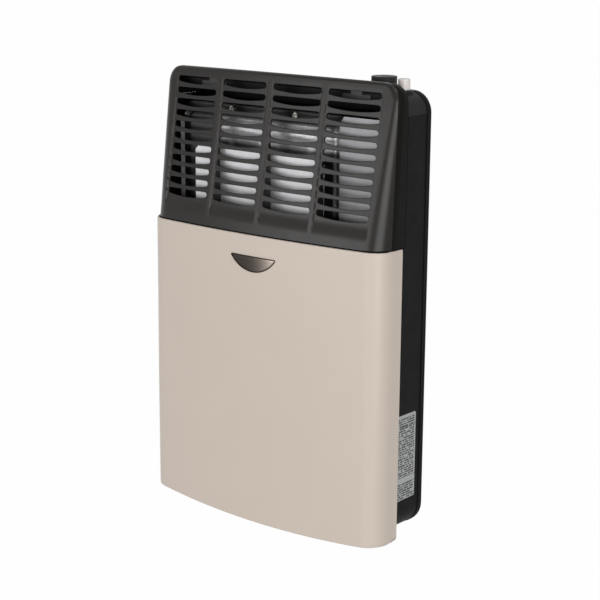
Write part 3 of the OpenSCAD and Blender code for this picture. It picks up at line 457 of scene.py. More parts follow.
def add_piece(name, verts, faces, look, replaces=(), slot=None, body="heater", normals=None, sharp=None):
    """Mesh piece from points in mm, with heights measured from the heater's lowest edge."""
    pts = np.asarray(verts, float) * MM
    pts[:, 2] -= FIX_H * MM
    mesh = bpy.data.meshes.new(name)
    mesh.from_pydata(pts.tolist(), [], faces)
    mesh.update()
    mesh.materials.append(M[look])
    mesh.polygons.foreach_set("use_smooth", [True] * len(mesh.polygons))
    if sharp is not None:
        mesh.set_sharp_from_angle(angle=math.radians(sharp))
    if normals is not None:
        mesh.normals_split_custom_set_from_vertices([Vector(n) for n in normals])
    ob = add_object(name, mesh)
    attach(ob, body)
    if replaces:
        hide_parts(*replaces)
    return ob


def fix_normals(ob):
    """Joins equal points and turns all faces outwards."""
    bm = bmesh.new()
    bm.from_mesh(ob.data)
    bmesh.ops.remove_doubles(bm, verts=bm.verts, dist=1e-6)
    bmesh.ops.recalc_face_normals(bm, faces=bm.faces)
    bm.to_mesh(ob.data)
    bm.free()


def weighted(ob):
    mod = ob.modifiers.new("weighted", "WEIGHTED_NORMAL")
    mod.keep_sharp = True


def thicken(ob, thickness):
    """Gives a sheet its thickness, inwards from the drawn face."""
    mod = ob.modifiers.new("thickness", "SOLIDIFY")
    mod.thickness = thickness
    mod.offset = -1


def grid_faces(rows, cols, close_cols=False, flip=False):
    faces = []
    for r in range(rows - 1):
        for c in range(cols if close_cols else cols - 1):
            a = r * cols + c
            b = r * cols + (c + 1) % cols
            face = (a, b, b + cols, a + cols)
            faces.append(face[::-1] if flip else face)
    return faces


def lathe(name, x, y, profile, look, segments, wave=None, **kw):
    """Turns a profile of (radius, height) points round the upright axis at x, y."""
    verts = []
    for r, z in profile:
        for k in range(segments):
            a = 2 * math.pi * k / segments
            rr = r + (wave(a, r, z) if wave else 0)
            verts.append((x + rr * math.cos(a), y + rr * math.sin(a), z))
    faces = grid_faces(len(profile), segments, close_cols=True)
    return add_piece(name, verts, faces, look, **kw)


# -------- bowed sections

BOW_R = 1540.0


def section(half, crest, corner, rear):
    """Half outline of the bowed front: bow, round corner, straight side. Arrays are welcome."""
    cx = half - corner
    cy = crest + BOW_R
    yc = cy - np.sqrt((BOW_R - corner) ** 2 - cx**2)
    a0 = np.arctan2(cx, cy - yc)
    return {
        "half": half, "cx": cx, "cy": cy, "yc": yc, "a0": a0, "corner": corner,
        "l_bow": BOW_R * a0,
        "l_arc": corner * (np.pi / 2 - a0),
        "l_side": rear - yc,
    }


def at_length(sec, s):
    """Point and outward normal at arc length s from the middle, for s >= 0."""
    lb, la, corner = sec["l_bow"], sec["l_arc"], sec["corner"]
    a = np.clip(s, 0, lb) / BOW_R
    b = sec["a0"] + np.clip(s - lb, 0, la) / corner
    bow = BOW_R * np.sin(a), sec["cy"] - BOW_R * np.cos(a), np.sin(a), -np.cos(a)
    arc = sec["cx"] + corner * np.sin(b), sec["yc"] - corner * np.cos(b), np.sin(b), -np.cos(b)
    side = sec["half"], sec["yc"] + (s - lb - la), 1.0, 0.0
    return [np.where(s > lb + la, on_side, np.where(s > lb, on_arc, on_bow))
            for on_bow, on_arc, on_side in zip(bow, arc, side)]


def length_at_x(sec, x):
    """Arc length at which the bow or corner reaches x."""
    on_bow = x <= BOW_R * np.sin(sec["a0"])
    bow = BOW_R * np.arcsin(np.clip(x / BOW_R, -1, 1))
    ratio = np.clip((x - sec["cx"]) / sec["corner"], -1, 1)
    arc = sec["l_bow"] + sec["corner"] * (np.arcsin(ratio) - sec["a0"])
    return np.where(on_bow, bow, arc)


def smooth(a, b, x):
    """0 below a, 1 above b, with a soft step between."""
    t = np.clip((x - a) / (b - a), 0, 1)
    return t * t * (3 - 2 * t)


def quarter_turn(n):
    """Angles of a quarter circle in n steps."""
    return [math.radians(90 * k / n) for k in range(n + 1)]


# -------- front panel

PANEL_HALF = 182.65  # the thickness and the bevelled edge bring it just inside the CAD's 183
PANEL_TOP = 361.7
PANEL_CREST = -103.0
FLANGE_REAR = -53.0
DIP_R = 2160.0
HEM_R = 3.5
HEM_LIFT = 2.4
FLARE = 0.25
PANEL_ROLL = 1.6
SHEET, EDGE_BEVEL = 0.0009, 0.00035  # metres


def panel_corner(z):
    return 26.0 + 2.2 * smooth(120.0, 355.0, z)


def build_panel():
    # columns: positions along the half outline, as (zone, fraction)
    bow_n, arc_n, side_n = 34, 14, 12
    zones = [(0, k / bow_n) for k in range(bow_n)] + [(1, k / arc_n) for k in range(arc_n)]
    zones += [(2, k / side_n) for k in range(side_n + 1)]
    cols = [(-1, z, f) for z, f in reversed(zones[1:])] + [(1, z, f) for z, f in zones]
    roll = PANEL_ROLL

    def point(col, inset, z):
        side, zone, f = col
        sec = section(PANEL_HALF, PANEL_CREST, panel_corner(z), FLANGE_REAR)
        s = f * sec["l_bow"] if zone == 0 else sec["l_bow"] + (
            f * sec["l_arc"] if zone == 1 else sec["l_arc"] + f * sec["l_side"])
        x, y, nx, ny = at_length(sec, np.float64(s))
        x = x + FLARE * smooth(FLANGE_REAR - 2.2, FLANGE_REAR - 0.4, y)
        return side * (x - nx * inset), y - ny * inset

    def taper(col):
        """How much of the inward lips remains, from 1 on the bow to 0 at the side flange."""
        _, zone, f = col
        return 1.0 if zone == 0 else (1.0 - 0.75 * f if zone == 1 else 0.25 * (1 - min(1, f * 2.5)))

    def hem(col, z):
        """Rounded lower rear corner of the side flange: how far the edge is lifted."""
        y = point(col, 0, z)[1]
        lift = HEM_LIFT * float(smooth(-73.0, -56.0, y)) if col[1] else 0.0
        d = max(0.0, HEM_R - (FLANGE_REAR - y))
        return lift + (HEM_R - math.sqrt(max(0.0, HEM_R**2 - d * d)) if d > 0 else 0.0)

    rows = []
    # bottom flange, then the roll round the lower edge
    rows.append(("low", 15.0, 0.15))
    rows.append(("low", roll + 3, 0.05))
    for a in quarter_turn(6):
        rows.append(("roll_low", roll * (1 - math.sin(a)), roll * (1 - math.cos(a))))
    heights = [0.02, 0.05, 0.1, 0.18, 0.28, 0.38, 0.48, 0.58, 0.68, 0.76, 0.84, 0.9, 0.95, 0.98]
    rows += [("wall", 0.0, h) for h in heights]
    for a in quarter_turn(6):
        rows.append(("roll_top", roll * (1 - math.cos(a)), roll * (1 - math.sin(a))))
    rows.append(("top", 2.4, 0.0))
    rows.append(("top_in", 2.6, 0.9))

    verts = []
    for kind, a, b in rows:
        for col in cols:
            x0, _ = point(col, 0, 0.0)
            low = DIP_R - math.sqrt(DIP_R**2 - x0 * x0)
            low += hem(col, low)
            t = taper(col)
            if kind == "low":
                inset, z = 0.8 + (a - 0.8) * t, low + b
            elif kind == "roll_low":
                inset, z = a, low + b
            elif kind == "wall":
                inset, z = a, low + roll + (PANEL_TOP - roll * 2 - low) * b
            elif kind == "roll_top":
                inset, z = a, PANEL_TOP - b
            else:
                inset, z = 0.9 + (a - 0.9) * max(t, 0.25), PANEL_TOP - b
            x, y = point(col, inset, z)
            verts.append((float(x), float(y), z))
    faces = grid_faces(len(rows), len(cols))
    ob = add_piece("panel_sheet", verts, faces, "panel", replaces=["front_panel"], slot="panel_enamel")
    thicken(ob, SHEET)
    edge = ob.modifiers.new("edge", "BEVEL")
    edge.width = EDGE_BEVEL
    edge.segments = 3
    edge.limit_method = "ANGLE"
    edge.angle_limit = math.radians(50)
    weighted(ob)


build_panel()

# -------- grille moulding

G_HALF = 180.3
G_TOP = 193.5
LEAN = math.radians(9.6)
G_ROUND = 21.0
G_FRONT_R = 4.5
G_REAR = -44.6
G_FOOT = 363.3
X_LIMIT = 158.0
U_END = 218.0
V_LINE = 186.0
RETURN_U = 191.2
SLOT_COLS, SLOT_ROWS = 4, 11
COL_PITCH = 80.7
ROW_PITCH = 13.9
FIRST_V = 180.6
# per column, measured on the photo; the CAD keeps four equal columns
SLOT_HALF = [34.6, 34.6, 35.4, 35.7]
SLOT_SHIFT = [-1.1, -1.1, -0.3, 0.0]
RIGHT_WALL_IN = [1.2, 0.8, 0.7, 0.0]
LEFT_WALL = (36.6, 36.95, 37.3, 37.65, 38.0, 38.35, 38.7)
RIGHT_WALL = (36.55, 36.85, 37.15, 37.4, 37.65, 37.95, 38.3)
SLOT_R = 3.4
SLOT_BELLY = 2.4
SLOT_END_H = 6.8
POCKET = 2.5
POCKET_RISE_V = (11.0, 31.0)
POCKET_TOP_V, POCKET_FADE = 186.0, 84.0
WALL = 2.3
LEAN_ORIGIN = np.array([0.0, -101.0, 361.7])
WEB_LOW, WEB_REAR, WEB_HALF, WEB_GAP = 366.0, -74.5, 3.2, 4.2
CASE_HALF, CASE_TOP, CASE_R, CASE_EYE_Z = 178.9, 535.8, 23.1, 480


def col_u(c):
    """Middle of a column of slots."""
    return (c - 1.5) * COL_PITCH


def closed(ids):
    """Pairs of neighbours round a closed loop."""
    return [(ids[i], ids[(i + 1) % len(ids)]) for i in range(len(ids))]


def to_base(x, yl, v):
    """Leaning frame to the upright frame."""
    y = LEAN_ORIGIN[1] + yl * math.cos(LEAN) + v * math.sin(LEAN)
    z = LEAN_ORIGIN[2] - yl * math.sin(LEAN) + v * math.cos(LEAN)
    return np.stack([x, y, z], axis=-1)


def grille_half(v):
    d = np.clip(v - (G_TOP - G_ROUND), 0, G_ROUND)
    return G_HALF - G_ROUND + np.sqrt(G_ROUND**2 - d**2)


def grille_front(v):
    d = np.clip(v - (G_TOP - G_FRONT_R), 0, G_FRONT_R)
    return G_FRONT_R - np.sqrt(G_FRONT_R**2 - d**2)


CORNER_V = [0, 20, 60, 100, 140, 170, 194]
CORNER_R = [30.5, 29.0, 24.5, 20.5, 16.5, 13.5, 11.5]


def grille_corner(v):
    return np.interp(v, CORNER_V, CORNER_R)


def grille_plain(u, v):
    """Point of the moulding's outer skin, without the louvre pockets."""
    s = np.sign(u)
    u = np.abs(u)
    half = grille_half(v)
    rear = (G_REAR - LEAN_ORIGIN[1] - v * math.sin(LEAN)) / math.cos(LEAN)
    sec = section(half, grille_front(v), grille_corner(v), rear)
    shrink = np.where(v > V_LINE, half / grille_half(np.array(V_LINE)), 1.0)
    total = sec["l_bow"] + sec["l_arc"] + sec["l_side"]
    l_lim = length_at_x(sec, X_LIMIT * shrink)
    l_front = length_at_x(sec, np.minimum(u, X_LIMIT) * shrink)
    t = np.clip((u - X_LIMIT) / (U_END - X_LIMIT), 0, None)
    length = np.where(u <= X_LIMIT, l_front, l_lim + t * (total - l_lim))
    x, y, _, _ = at_length(sec, length)
    return to_base(s * x, y, v)


def normal_of(func, u, v):
    h = 0.04
    v0, v1 = v - h, np.minimum(v + h, G_TOP - 1e-4)
    pu = func(u + h, v) - func(u - h, v)
    pv = func(u, v1) - func(u, v0)
    n = np.cross(pu, pv)
    return n / np.maximum(np.linalg.norm(n, axis=-1, keepdims=True), 1e-12)


def pocket_depth(u, v):
    across = np.zeros(np.shape(u))
    for c in range(SLOT_COLS):
        d = u - col_u(c)
        inside = (1 - smooth(LEFT_WALL[0], LEFT_WALL[-1], -d))
        inside = inside * (1 - smooth(RIGHT_WALL[0], RIGHT_WALL[-2], d + RIGHT_WALL_IN[c]))
        across = np.maximum(across, inside)
    # the floor rises to the front towards the top row
    up = smooth(*POCKET_RISE_V, v) * np.clip((POCKET_TOP_V - v) / POCKET_FADE, 0, 1)
    return POCKET * across * up


def grille_skin(u, v):
    return grille_plain(u, v) - normal_of(grille_plain, u, v) * pocket_depth(u, v)[..., None]


def slot_loop(c, k, offset):
    """Closed loop of one louvre slot, grown by an offset, with outward directions."""
    uc, vt = col_u(c) + SLOT_SHIFT[c], FIRST_V - k * ROW_PITCH
    chord = SLOT_HALF[c] - SLOT_R
    beta = 2 * math.atan(SLOT_BELLY / chord)
    pts = []
    for i in range(13):
        x = -chord + 2 * chord * i / 12
        pts.append((x, 0.0, 0.0, 1.0))

    def round_end(side, start):
        for i in range(1, 12):
            a = start - (math.pi - beta) * i / 12
            dx, dz = math.cos(a), math.sin(a)
            pts.append((side * chord + SLOT_R * dx, -SLOT_R + SLOT_R * dz, dx, dz))

    round_end(1, math.pi / 2)
    xe = chord + SLOT_R * math.sin(beta)
    ze = -SLOT_R - SLOT_R * math.cos(beta)
    r = xe / math.sin(beta)
    for i in range(15):
        a = beta - 2 * beta * i / 14
        pts.append((r * math.sin(a), ze + r * math.cos(beta) - r * math.cos(a), math.sin(a), -math.cos(a)))
    round_end(-1, -math.pi / 2 - beta)
    return [(uc + x + mx * offset, vt + z + mz * offset, mx, mz) for x, z, mx, mz in pts]


def foot_v(u):
    """The v at which the skin meets the level foot of the moulding."""
    v = np.full(np.shape(u), 0.3)
    for _ in range(30):
        z = grille_plain(u, v)[..., 2]
        v = v + (G_FOOT - z)
    return v


def build_grille():
    us = [-U_END + (U_END - X_LIMIT) * k / 18 for k in range(18)]
    front = np.linspace(-X_LIMIT, X_LIMIT, 53)
    us = np.array(us + list(front) + [-u for u in reversed(us)])
    foot = foot_v(us)

    def round_rows(radius, angles):
        """Rows on one of the rounded upper edges."""
        return [G_TOP - radius * (1 - math.sin(math.radians(a))) for a in angles]

    top_rows = round_rows(G_FRONT_R, (0, 12, 24, 36, 48, 58, 67, 75, 82, 87))
    mid_rows = round_rows(G_ROUND, range(0, 48, 6))
    low_rows = list(np.arange(9.0, 171.0, 4.5))

    pts, kind, edges = [], [], []

    def put(u, v, info):
        pts.append(Vector((float(u), float(v))))
        kind.append(info)
        return len(pts) - 1

    # outline: foot left to right, right edge, top right to left, left edge
    outline = [put(u, v, None) for u, v in zip(us, foot)]
    foot_ids = list(outline)
    side_vs = [v for v in low_rows + mid_rows + top_rows if v > foot[0] + 2]
    outline += [put(us[-1], v, None) for v in side_vs]
    top_ids = [put(u, G_TOP, None) for u in us[::-1]]
    outline += top_ids
    outline += [put(us[0], v, None) for v in reversed(side_vs)]
    edges += closed(outline)

    # slot rings
    rings = []
    for c in range(SLOT_COLS):
        for k in range(SLOT_ROWS):
            ids = []
            for offset, tilt, sink in ((0.0, 78, 0.62), (0.28, 42, 0.14), (0.75, 8, 0.0)):
                loop = slot_loop(c, k, offset)
                ring = [put(u, v, (mx, mz, tilt, sink)) for u, v, mx, mz in loop]
                edges += closed(ring)
                ids.append(ring)
            rings.append(ids[0])

    belly_half = 33.0

    def slots_in_column(u, v, grow=0.0):
        """Column, distance from its middle and height over the top edge, for each slot beside u."""
        for c in range(SLOT_COLS):
            dx = abs(u - col_u(c) - SLOT_SHIFT[c])
            if dx <= SLOT_HALF[c] + grow:
                for k in range(SLOT_ROWS):
                    yield c, dx, v - (FIRST_V - k * ROW_PITCH)

    def near_slot(u, v, grow):
        for _, dx, dv in slots_in_column(u, v, grow):
            belly = SLOT_BELLY * max(0.0, 1 - (dx / belly_half) ** 2)
            if -SLOT_END_H - belly - grow < dv < grow:
                return True
        return False

    # inner points: general grid plus fine lines along the pocket walls
    fine_u = []
    for c in range(SLOT_COLS):
        fine_u += [col_u(c) - d for d in LEFT_WALL]
        fine_u += [col_u(c) + d - RIGHT_WALL_IN[c] for d in RIGHT_WALL]
    grid_u = sorted([float(u) for u in us[1:-1]] + fine_u)
    fine_v = [183.6, 186.1, 11, 12.5, 15.5, 17, 19.5, 21, 24, 25.5, 28.5, 30, 33]
    grid_v = sorted(low_rows + mid_rows + top_rows + fine_v)
    for u in grid_u:
        f = float(np.interp(u, us, foot))
        for v in grid_v:
            if v < f + 2.2 or v > G_TOP - 1e-6:
                continue
            if v > 31.5 and abs(u) < X_LIMIT + 1 and near_slot(u, v, 0.82):
                continue
            put(u, v, None)

    verts2, _, faces2, orig = delaunay_2d_cdt(pts, edges, [outline], 1, 1e-5, True)[:4]
    count = len(verts2)
    uu = np.array([p.x for p in verts2])
    vv = np.array([min(p.y, G_TOP - 1e-4) for p in verts2])
    info = [next((kind[i] for i in o if kind[i]), None) if o else None for o in orig]
    where = {i: n for n, o in enumerate(orig) for i in o}

    def inside_slot(u, v):
        for c, dx, dv in slots_in_column(u, v):
            chord = SLOT_HALF[c] - SLOT_R
            if dv > 0 or dv < -SLOT_END_H - SLOT_BELLY - 0.1:
                continue
            if dx > chord:
                return math.hypot(dx - chord, dv + SLOT_R) < SLOT_R
            return dv > -SLOT_END_H - SLOT_BELLY * (1 - (dx / (chord + 0.5)) ** 2)
        return False

    keep = []
    for f in faces2:
        cu = sum(verts2[i].x for i in f) / len(f)
        cv = sum(verts2[i].y for i in f) / len(f)
        if not inside_slot(cu, cv):
            keep.append(tuple(f))

    skin = grille_skin(uu, vv)
    norm = normal_of(grille_skin, uu, vv)
    du = (grille_plain(uu + 0.05, vv) - grille_plain(uu - 0.05, vv)) / 0.1
    dv = (grille_plain(uu, vv) - grille_plain(uu, vv - 0.05)) / 0.05
    face_n = normal_of(grille_plain, uu, vv)
    outer = skin.copy()
    shade = norm.copy()
    lateral = np.zeros_like(norm)
    for i, data in enumerate(info):
        if data:
            mx, mz, tilt, sink = data
            m = du[i] * mx + dv[i] * mz
            m /= max(np.linalg.norm(m), 1e-9)
            lateral[i] = m
            outer[i] = skin[i] - face_n[i] * sink
            a = math.radians(tilt)
            if tilt > 10:
                shade[i] = face_n[i] * math.cos(a) - m * math.sin(a)
    inner = skin - face_n * (WALL - 0.15)
    verts = list(outer) + list(inner)
    normals = list(shade) + list(-face_n)
    faces = list(keep) + [tuple(reversed([i + count for i in f])) for f in keep]

    def vert(point, normal):
        verts.append(point)
        normals.append(normal)
        return len(verts) - 1

    # walls of the slots
    for ring in rings:
        ids = [where[i] for i in ring]
        base = len(verts)
        for i in ids:
            vert(inner[i], -lateral[i])
        n = len(ids)
        for j in range(n):
            a, b = ids[j], ids[(j + 1) % n]
            faces.append((a, base + j, base + (j + 1) % n, b))

    # closed top of the moulding, flat in the leaning frame
    up = np.array([0.0, math.sin(LEAN), math.cos(LEAN)])
    top = [where[i] for i in top_ids]
    faces.append(tuple(vert(outer[i], up) for i in top))

    # foot: the skin turns in and runs down behind the panel
    foot_w = [where[i] for i in foot_ids]
    turn = []
    for step, (inset, drop) in enumerate(((0.0, 0.0), (0.5, 0.45), (3.75, 0.5), (3.75, 18.0))):
        row = []
        for i in foot_w:
            n = face_n[i].copy()
            n[2] = 0
            n /= np.linalg.norm(n)
            p = outer[i] - n * inset
            p[2] = G_FOOT + 0.15 - drop if step else outer[i][2]
            row.append(vert(p, n if step in (0, 3) else (n * 0.5 + np.array([0, 0, -1.0]) * 0.5)))
        turn.append(row)
    for a, b in zip(turn, turn[1:]):
        for j in range(len(a) - 1):
            faces.append((b[j], b[j + 1], a[j + 1], a[j]))

    # rear wall of the raised top, down to the casing
    rear_out = []
    vs = np.array(list(np.linspace(118, 171, 8)) + mid_rows + top_rows + [G_TOP - 1e-4])
    for v in vs:
        rear_out.append(grille_plain(np.array(U_END), np.array(v)))
    rim = [(p[0], p[2]) for p in rear_out]
    curve = rim + [(-x, z) for x, z in reversed(rim)]

    def casing_top_curve(angle):
        """Casing outline, drawn in by 1.9 mm, seen from (0, CASE_EYE_Z) at an angle."""
        lo, hi = 0.0, 400.0
        cx, cz = CASE_HALF - CASE_R, CASE_TOP - CASE_R
        for _ in range(40):
            mid = (lo + hi) / 2
            x, z = abs(mid * math.cos(angle)), CASE_EYE_Z + mid * math.sin(angle)
            in_round = not (x > cx and z > cz and math.hypot(x - cx, z - cz) > CASE_R)
            inside = x < CASE_HALF and z < CASE_TOP and in_round
            lo, hi = (mid, hi) if inside else (lo, mid)
        return lo * math.cos(angle), CASE_EYE_Z + lo * math.sin(angle)

    base = len(verts)
    for x, z in curve:
        angle = math.atan2(z - CASE_EYE_Z, x)
        ix, iz = casing_top_curve(max(0.0, min(math.pi, angle)))
        for px, pz in ((x, z), (ix, iz)):
            vert(np.array([px, G_REAR, pz]), np.array([0, 1.0, 0]))
    for j in range(len(curve) - 1):
        a = base + 2 * j
        faces.append((a, a + 2, a + 3, a + 1))

    # upright webs behind the ribs between the columns
    for k in (-1, 0, 1):
        xc = k * COL_PITCH
        bow = xc * xc / (2 * BOW_R)
        tan = math.tan(LEAN)
        y_low = LEAN_ORIGIN[1] + bow + WEB_GAP + (WEB_LOW - LEAN_ORIGIN[2]) * tan
        z_high = LEAN_ORIGIN[2] + (WEB_REAR - LEAN_ORIGIN[1] - bow - WEB_GAP) / tan
        tri = [(y_low, WEB_LOW), (WEB_REAR, z_high), (WEB_REAR, WEB_LOW)]
        base = len(verts)
        for s in (-1, 1):
            for y, z in tri:
                vert(np.array([xc + s * WEB_HALF, y, z]), np.array([float(s), 0, 0]))
        faces.append((base, base + 1, base + 2))
        faces.append((base + 5, base + 4, base + 3))
        base = len(verts)
        for s in (-1, 1):
            for z in (WEB_LOW, z_high):
                vert(np.array([xc + s * WEB_HALF, WEB_REAR, z]), np.array([0, 1.0, 0]))
        faces.append((base, base + 1, base + 3, base + 2))

    # painted shade: the returns at the sides get a darker, less glossy copy of the resin, as they face away
    # from the light
    returns = [f for f in faces if all(i < count and abs(uu[i]) > RETURN_U for i in f)]
    chosen = set(returns)
    main = [f for f in faces if f not in chosen]
    for name, part, look, gone in (("grille_moulding", main, "grille", ["upper_grille"]),
                                   ("grille_returns", returns, "grille_shaded_side", [])):
        used = sorted({i for f in part for i in f})
        place = {i: n for n, i in enumerate(used)}
        add_piece(name, [verts[i] for i in used], [tuple(place[i] for i in f) for f in part], look,
                  replaces=gone, slot="grille_resin", normals=[normals[i] for i in used])


build_grille()

# -------- badge

BADGE_TOP = 336.7
BADGE_H = 19.5
BADGE_ARC = 42.8
BADGE_TIP_R = 1.6


def badge_loop(inset):
    """Half-moon outline, straight on top, with slightly rounded tips."""
    cz = BADGE_TOP - BADGE_H + BADGE_ARC
    r = BADGE_ARC - inset
    top = BADGE_TOP - inset
    q = max(0.25, BADGE_TIP_R - inset)
    # tip circle, inside both the arc and the straight edge
    tz = top - q
    tx = math.sqrt((r - q) ** 2 - (cz - tz) ** 2)
    ang = math.atan2(cz - tz, tx)
    quarter = math.pi / 2
    pts = [(-tx + 2 * tx * i / 24, top) for i in range(25)]
    for x, z, radius, start, sweep, picked, steps in (
            (tx, tz, q, quarter, quarter + ang, range(1, 9), 8),
            (0, cz, r, -ang, math.pi - 2 * ang, range(1, 40), 40),
            (-tx, tz, q, math.pi + ang, quarter + ang, range(8), 8)):
        for i in picked:
            a = start - sweep * i / steps
            pts.append((x + radius * math.cos(a), z + radius * math.sin(a)))
    return pts


def on_face(x, z, out):
    r = BOW_R + out
    return (x, PANEL_CREST + BOW_R - math.sqrt(r * r - x * x), z)


def build_badge():
    rim_rows = [(0.0, 0.02), (0.0, 0.75), (0.15, 1.05), (0.45, 1.2), (0.8, 1.15), (1.05, 0.9), (1.15, 0.4)]
    loops = [badge_loop(i) for i, _ in rim_rows]
    n = len(loops[0])
    verts = [on_face(x, z, out) for (_, out), loop in zip(rim_rows, loops) for x, z in loop]
    faces = grid_faces(len(rim_rows), n, close_cols=True, flip=True)
    add_piece("badge_frame", verts, faces, "badge_dark", replaces=["badge_rim"], slot="badge_dark")

    cz = BADGE_TOP - BADGE_H * 0.45
    rows = [(0.0, 0.3), (0.0, 0.62), (0.12, 0.74)]
    base_loop = badge_loop(1.15)
    verts = []
    for inset, out in rows:
        verts += [on_face(x, z, out) for x, z in badge_loop(1.15 + inset)]
    steps = 9
    for k in range(1, steps + 1):
        f = k / steps
        for x, z in base_loop:
            px, pz = x * (1 - f), cz + (z - cz) * (1 - f)
            verts.append(on_face(px, pz, 0.74 + 0.16 * math.sin(f * math.pi / 2)))
    faces = grid_faces(len(rows) + steps, n, close_cols=True, flip=True)
    plate = add_piece("badge_face", verts, faces, "badge", replaces=["badge_plate"], slot="badge_metal")
    fix_normals(plate)


build_badge()

# -------- rating plate


def build_label():
    y0, y1, z0, z1, r = -57.0, -15.0, 54.7, 160.9, 3.0
    x = 180.0  # the casing's side

    def loop(inset):
        pts = []
        q = max(0.3, r - inset)
        for cy, cz, a0 in ((y1 - inset - q, z1 - inset - q, 0), (y0 + inset + q, z1 - inset - q, 90),
                           (y0 + inset + q, z0 + inset + q, 180), (y1 - inset - q, z0 + inset + q, 270)):
            for k in range(9):
                a = math.radians(a0 + 90 * k / 8)
                pts.append((cy + q * math.cos(a), cz + q * math.sin(a)))
        return pts

    rows = [(0.0, 0.01), (0.0, 0.12), (0.08, 0.17), (0.5, 0.18), (1.2, 0.18)]
    verts = [(x + out, y, z) for inset, out in rows for y, z in loop(inset)]
    n = len(loop(0))
    faces = grid_faces(len(rows), n, close_cols=True)
    faces.append(tuple(range((len(rows) - 1) * n, len(rows) * n)))
    plate = add_piece("rating_label", verts, faces, "label", replaces=["rating_plate"], slot="label_foil")
    fix_normals(plate)


build_label()

# -------- controls

KNOB_X, CONTROL_Y, BUTTON_X = 127.7, -20.0, 156.0
FLUTES, FLUTE_DEPTH = 48, 0.14
BUTTON_DOME = 30


def build_knob():
    z0, z1, r = 542.5, 553.1, 15.0
    dome = 160.0
    top = z1 + 0.7

    def cap_z(rr):
        return top - dome + math.sqrt(dome * dome - rr * rr)

    profile = [(6.0, z0 + 0.02), (6.0, z0 + 4.5), (12.8, z0 + 4.5), (13.0, z0 + 0.4), (13.3, z0)]
    profile += [(14.5, z0), (14.85, z0 + 0.15), (15.0, z0 + 0.5)]
    profile += [(15.0, z0 + 1.6), (14.95, z0 + 2.0), (14.95, 545.5), (14.95, 548)]
    profile += [(14.95, 550.2), (14.97, 551.2)]
    edge = 0.9
    for a in quarter_turn(6):
        rr = r - edge + edge * math.cos(a)
        profile.append((rr, cap_z(r) - edge + edge * math.sin(a)))
    for rr in (13.2, 12.0, 10.0, 7.5, 5.0, 2.5, 0.05):
        profile.append((rr, cap_z(rr)))

    def grip(a, rr, z):
        """Fine upright flutes round the side."""
        if rr < 14.9 or z < z0 + 1.7 or z > 551.0:
            return 0.0
        return -FLUTE_DEPTH * (0.5 + 0.5 * math.cos(a * FLUTES)) ** 2

    lathe("knob_cap", KNOB_X, CONTROL_Y, profile, "knob", segments=288, wave=grip,
          replaces=["control_knob"], slot="knob_resin", body="knob", sharp=50)
    # shallow index mark, pointing at the room
    verts = []
    rows = 12
    for i in range(rows):
        rr = 14.0 - 7.4 * i / (rows - 1)
        for off, lift in ((-0.62, -0.2), (-0.45, 0.1), (0.0, 0.14), (0.45, 0.1), (0.62, -0.2)):
            verts.append((KNOB_X + off, CONTROL_Y - rr, min(cap_z(rr) + lift * 0.6, 553.76)))
    faces = grid_faces(rows, 5)
    mark = add_piece("knob_mark", verts, faces, "button", body="knob", slot="button_resin")
    fix_normals(mark)


def build_button():
    r, low, top = 7.0, 519.0, 552.4
    profile = [(0.05, low), (r - 0.3, low), (r, low + 0.3), (r, 530), (r, 539.2), (r, 544), (r, 550.0)]
    edge = 1.1
    crown = top - BUTTON_DOME + math.sqrt(BUTTON_DOME**2 - (r - edge) ** 2)
    for a in quarter_turn(7)[1:]:
        profile.append((r - edge + edge * math.cos(a), crown - edge + edge * math.sin(a)))
    for rr in (4.2, 3.0, 1.8, 0.9, 0.05):
        profile.append((rr, top - BUTTON_DOME + math.sqrt(BUTTON_DOME**2 - rr * rr)))
    lathe("igniter_button", BUTTON_X, CONTROL_Y, profile, "button", segments=72,
          replaces=["piezo_button"], slot="button_resin", body="button", sharp=60)


build_knob()
build_button()

# -------- chamber front with pressed flutes


CHAMBER = (-148.0, 90.0, 97.0, 497.0)  # x from, x to, z from, z to, without the flange
FLANGE_W, FLANGE_R, FLANGE_Y = 10.0, 14.0, -52.0
FACE_R, FACE_RISE = 12.0, 6.0
GLASS_X, GLASS_Z, GLASS_R = -70.0, 140.0, 17
FLUTE_XS, FLUTE_HALF, FLUTE_RISE = (-50.0, 25.0), 33.0, 7.8
FLUTE_FOOT, FLUTE_HEAD = (188.0, 214.0), (448.0, 472.0)


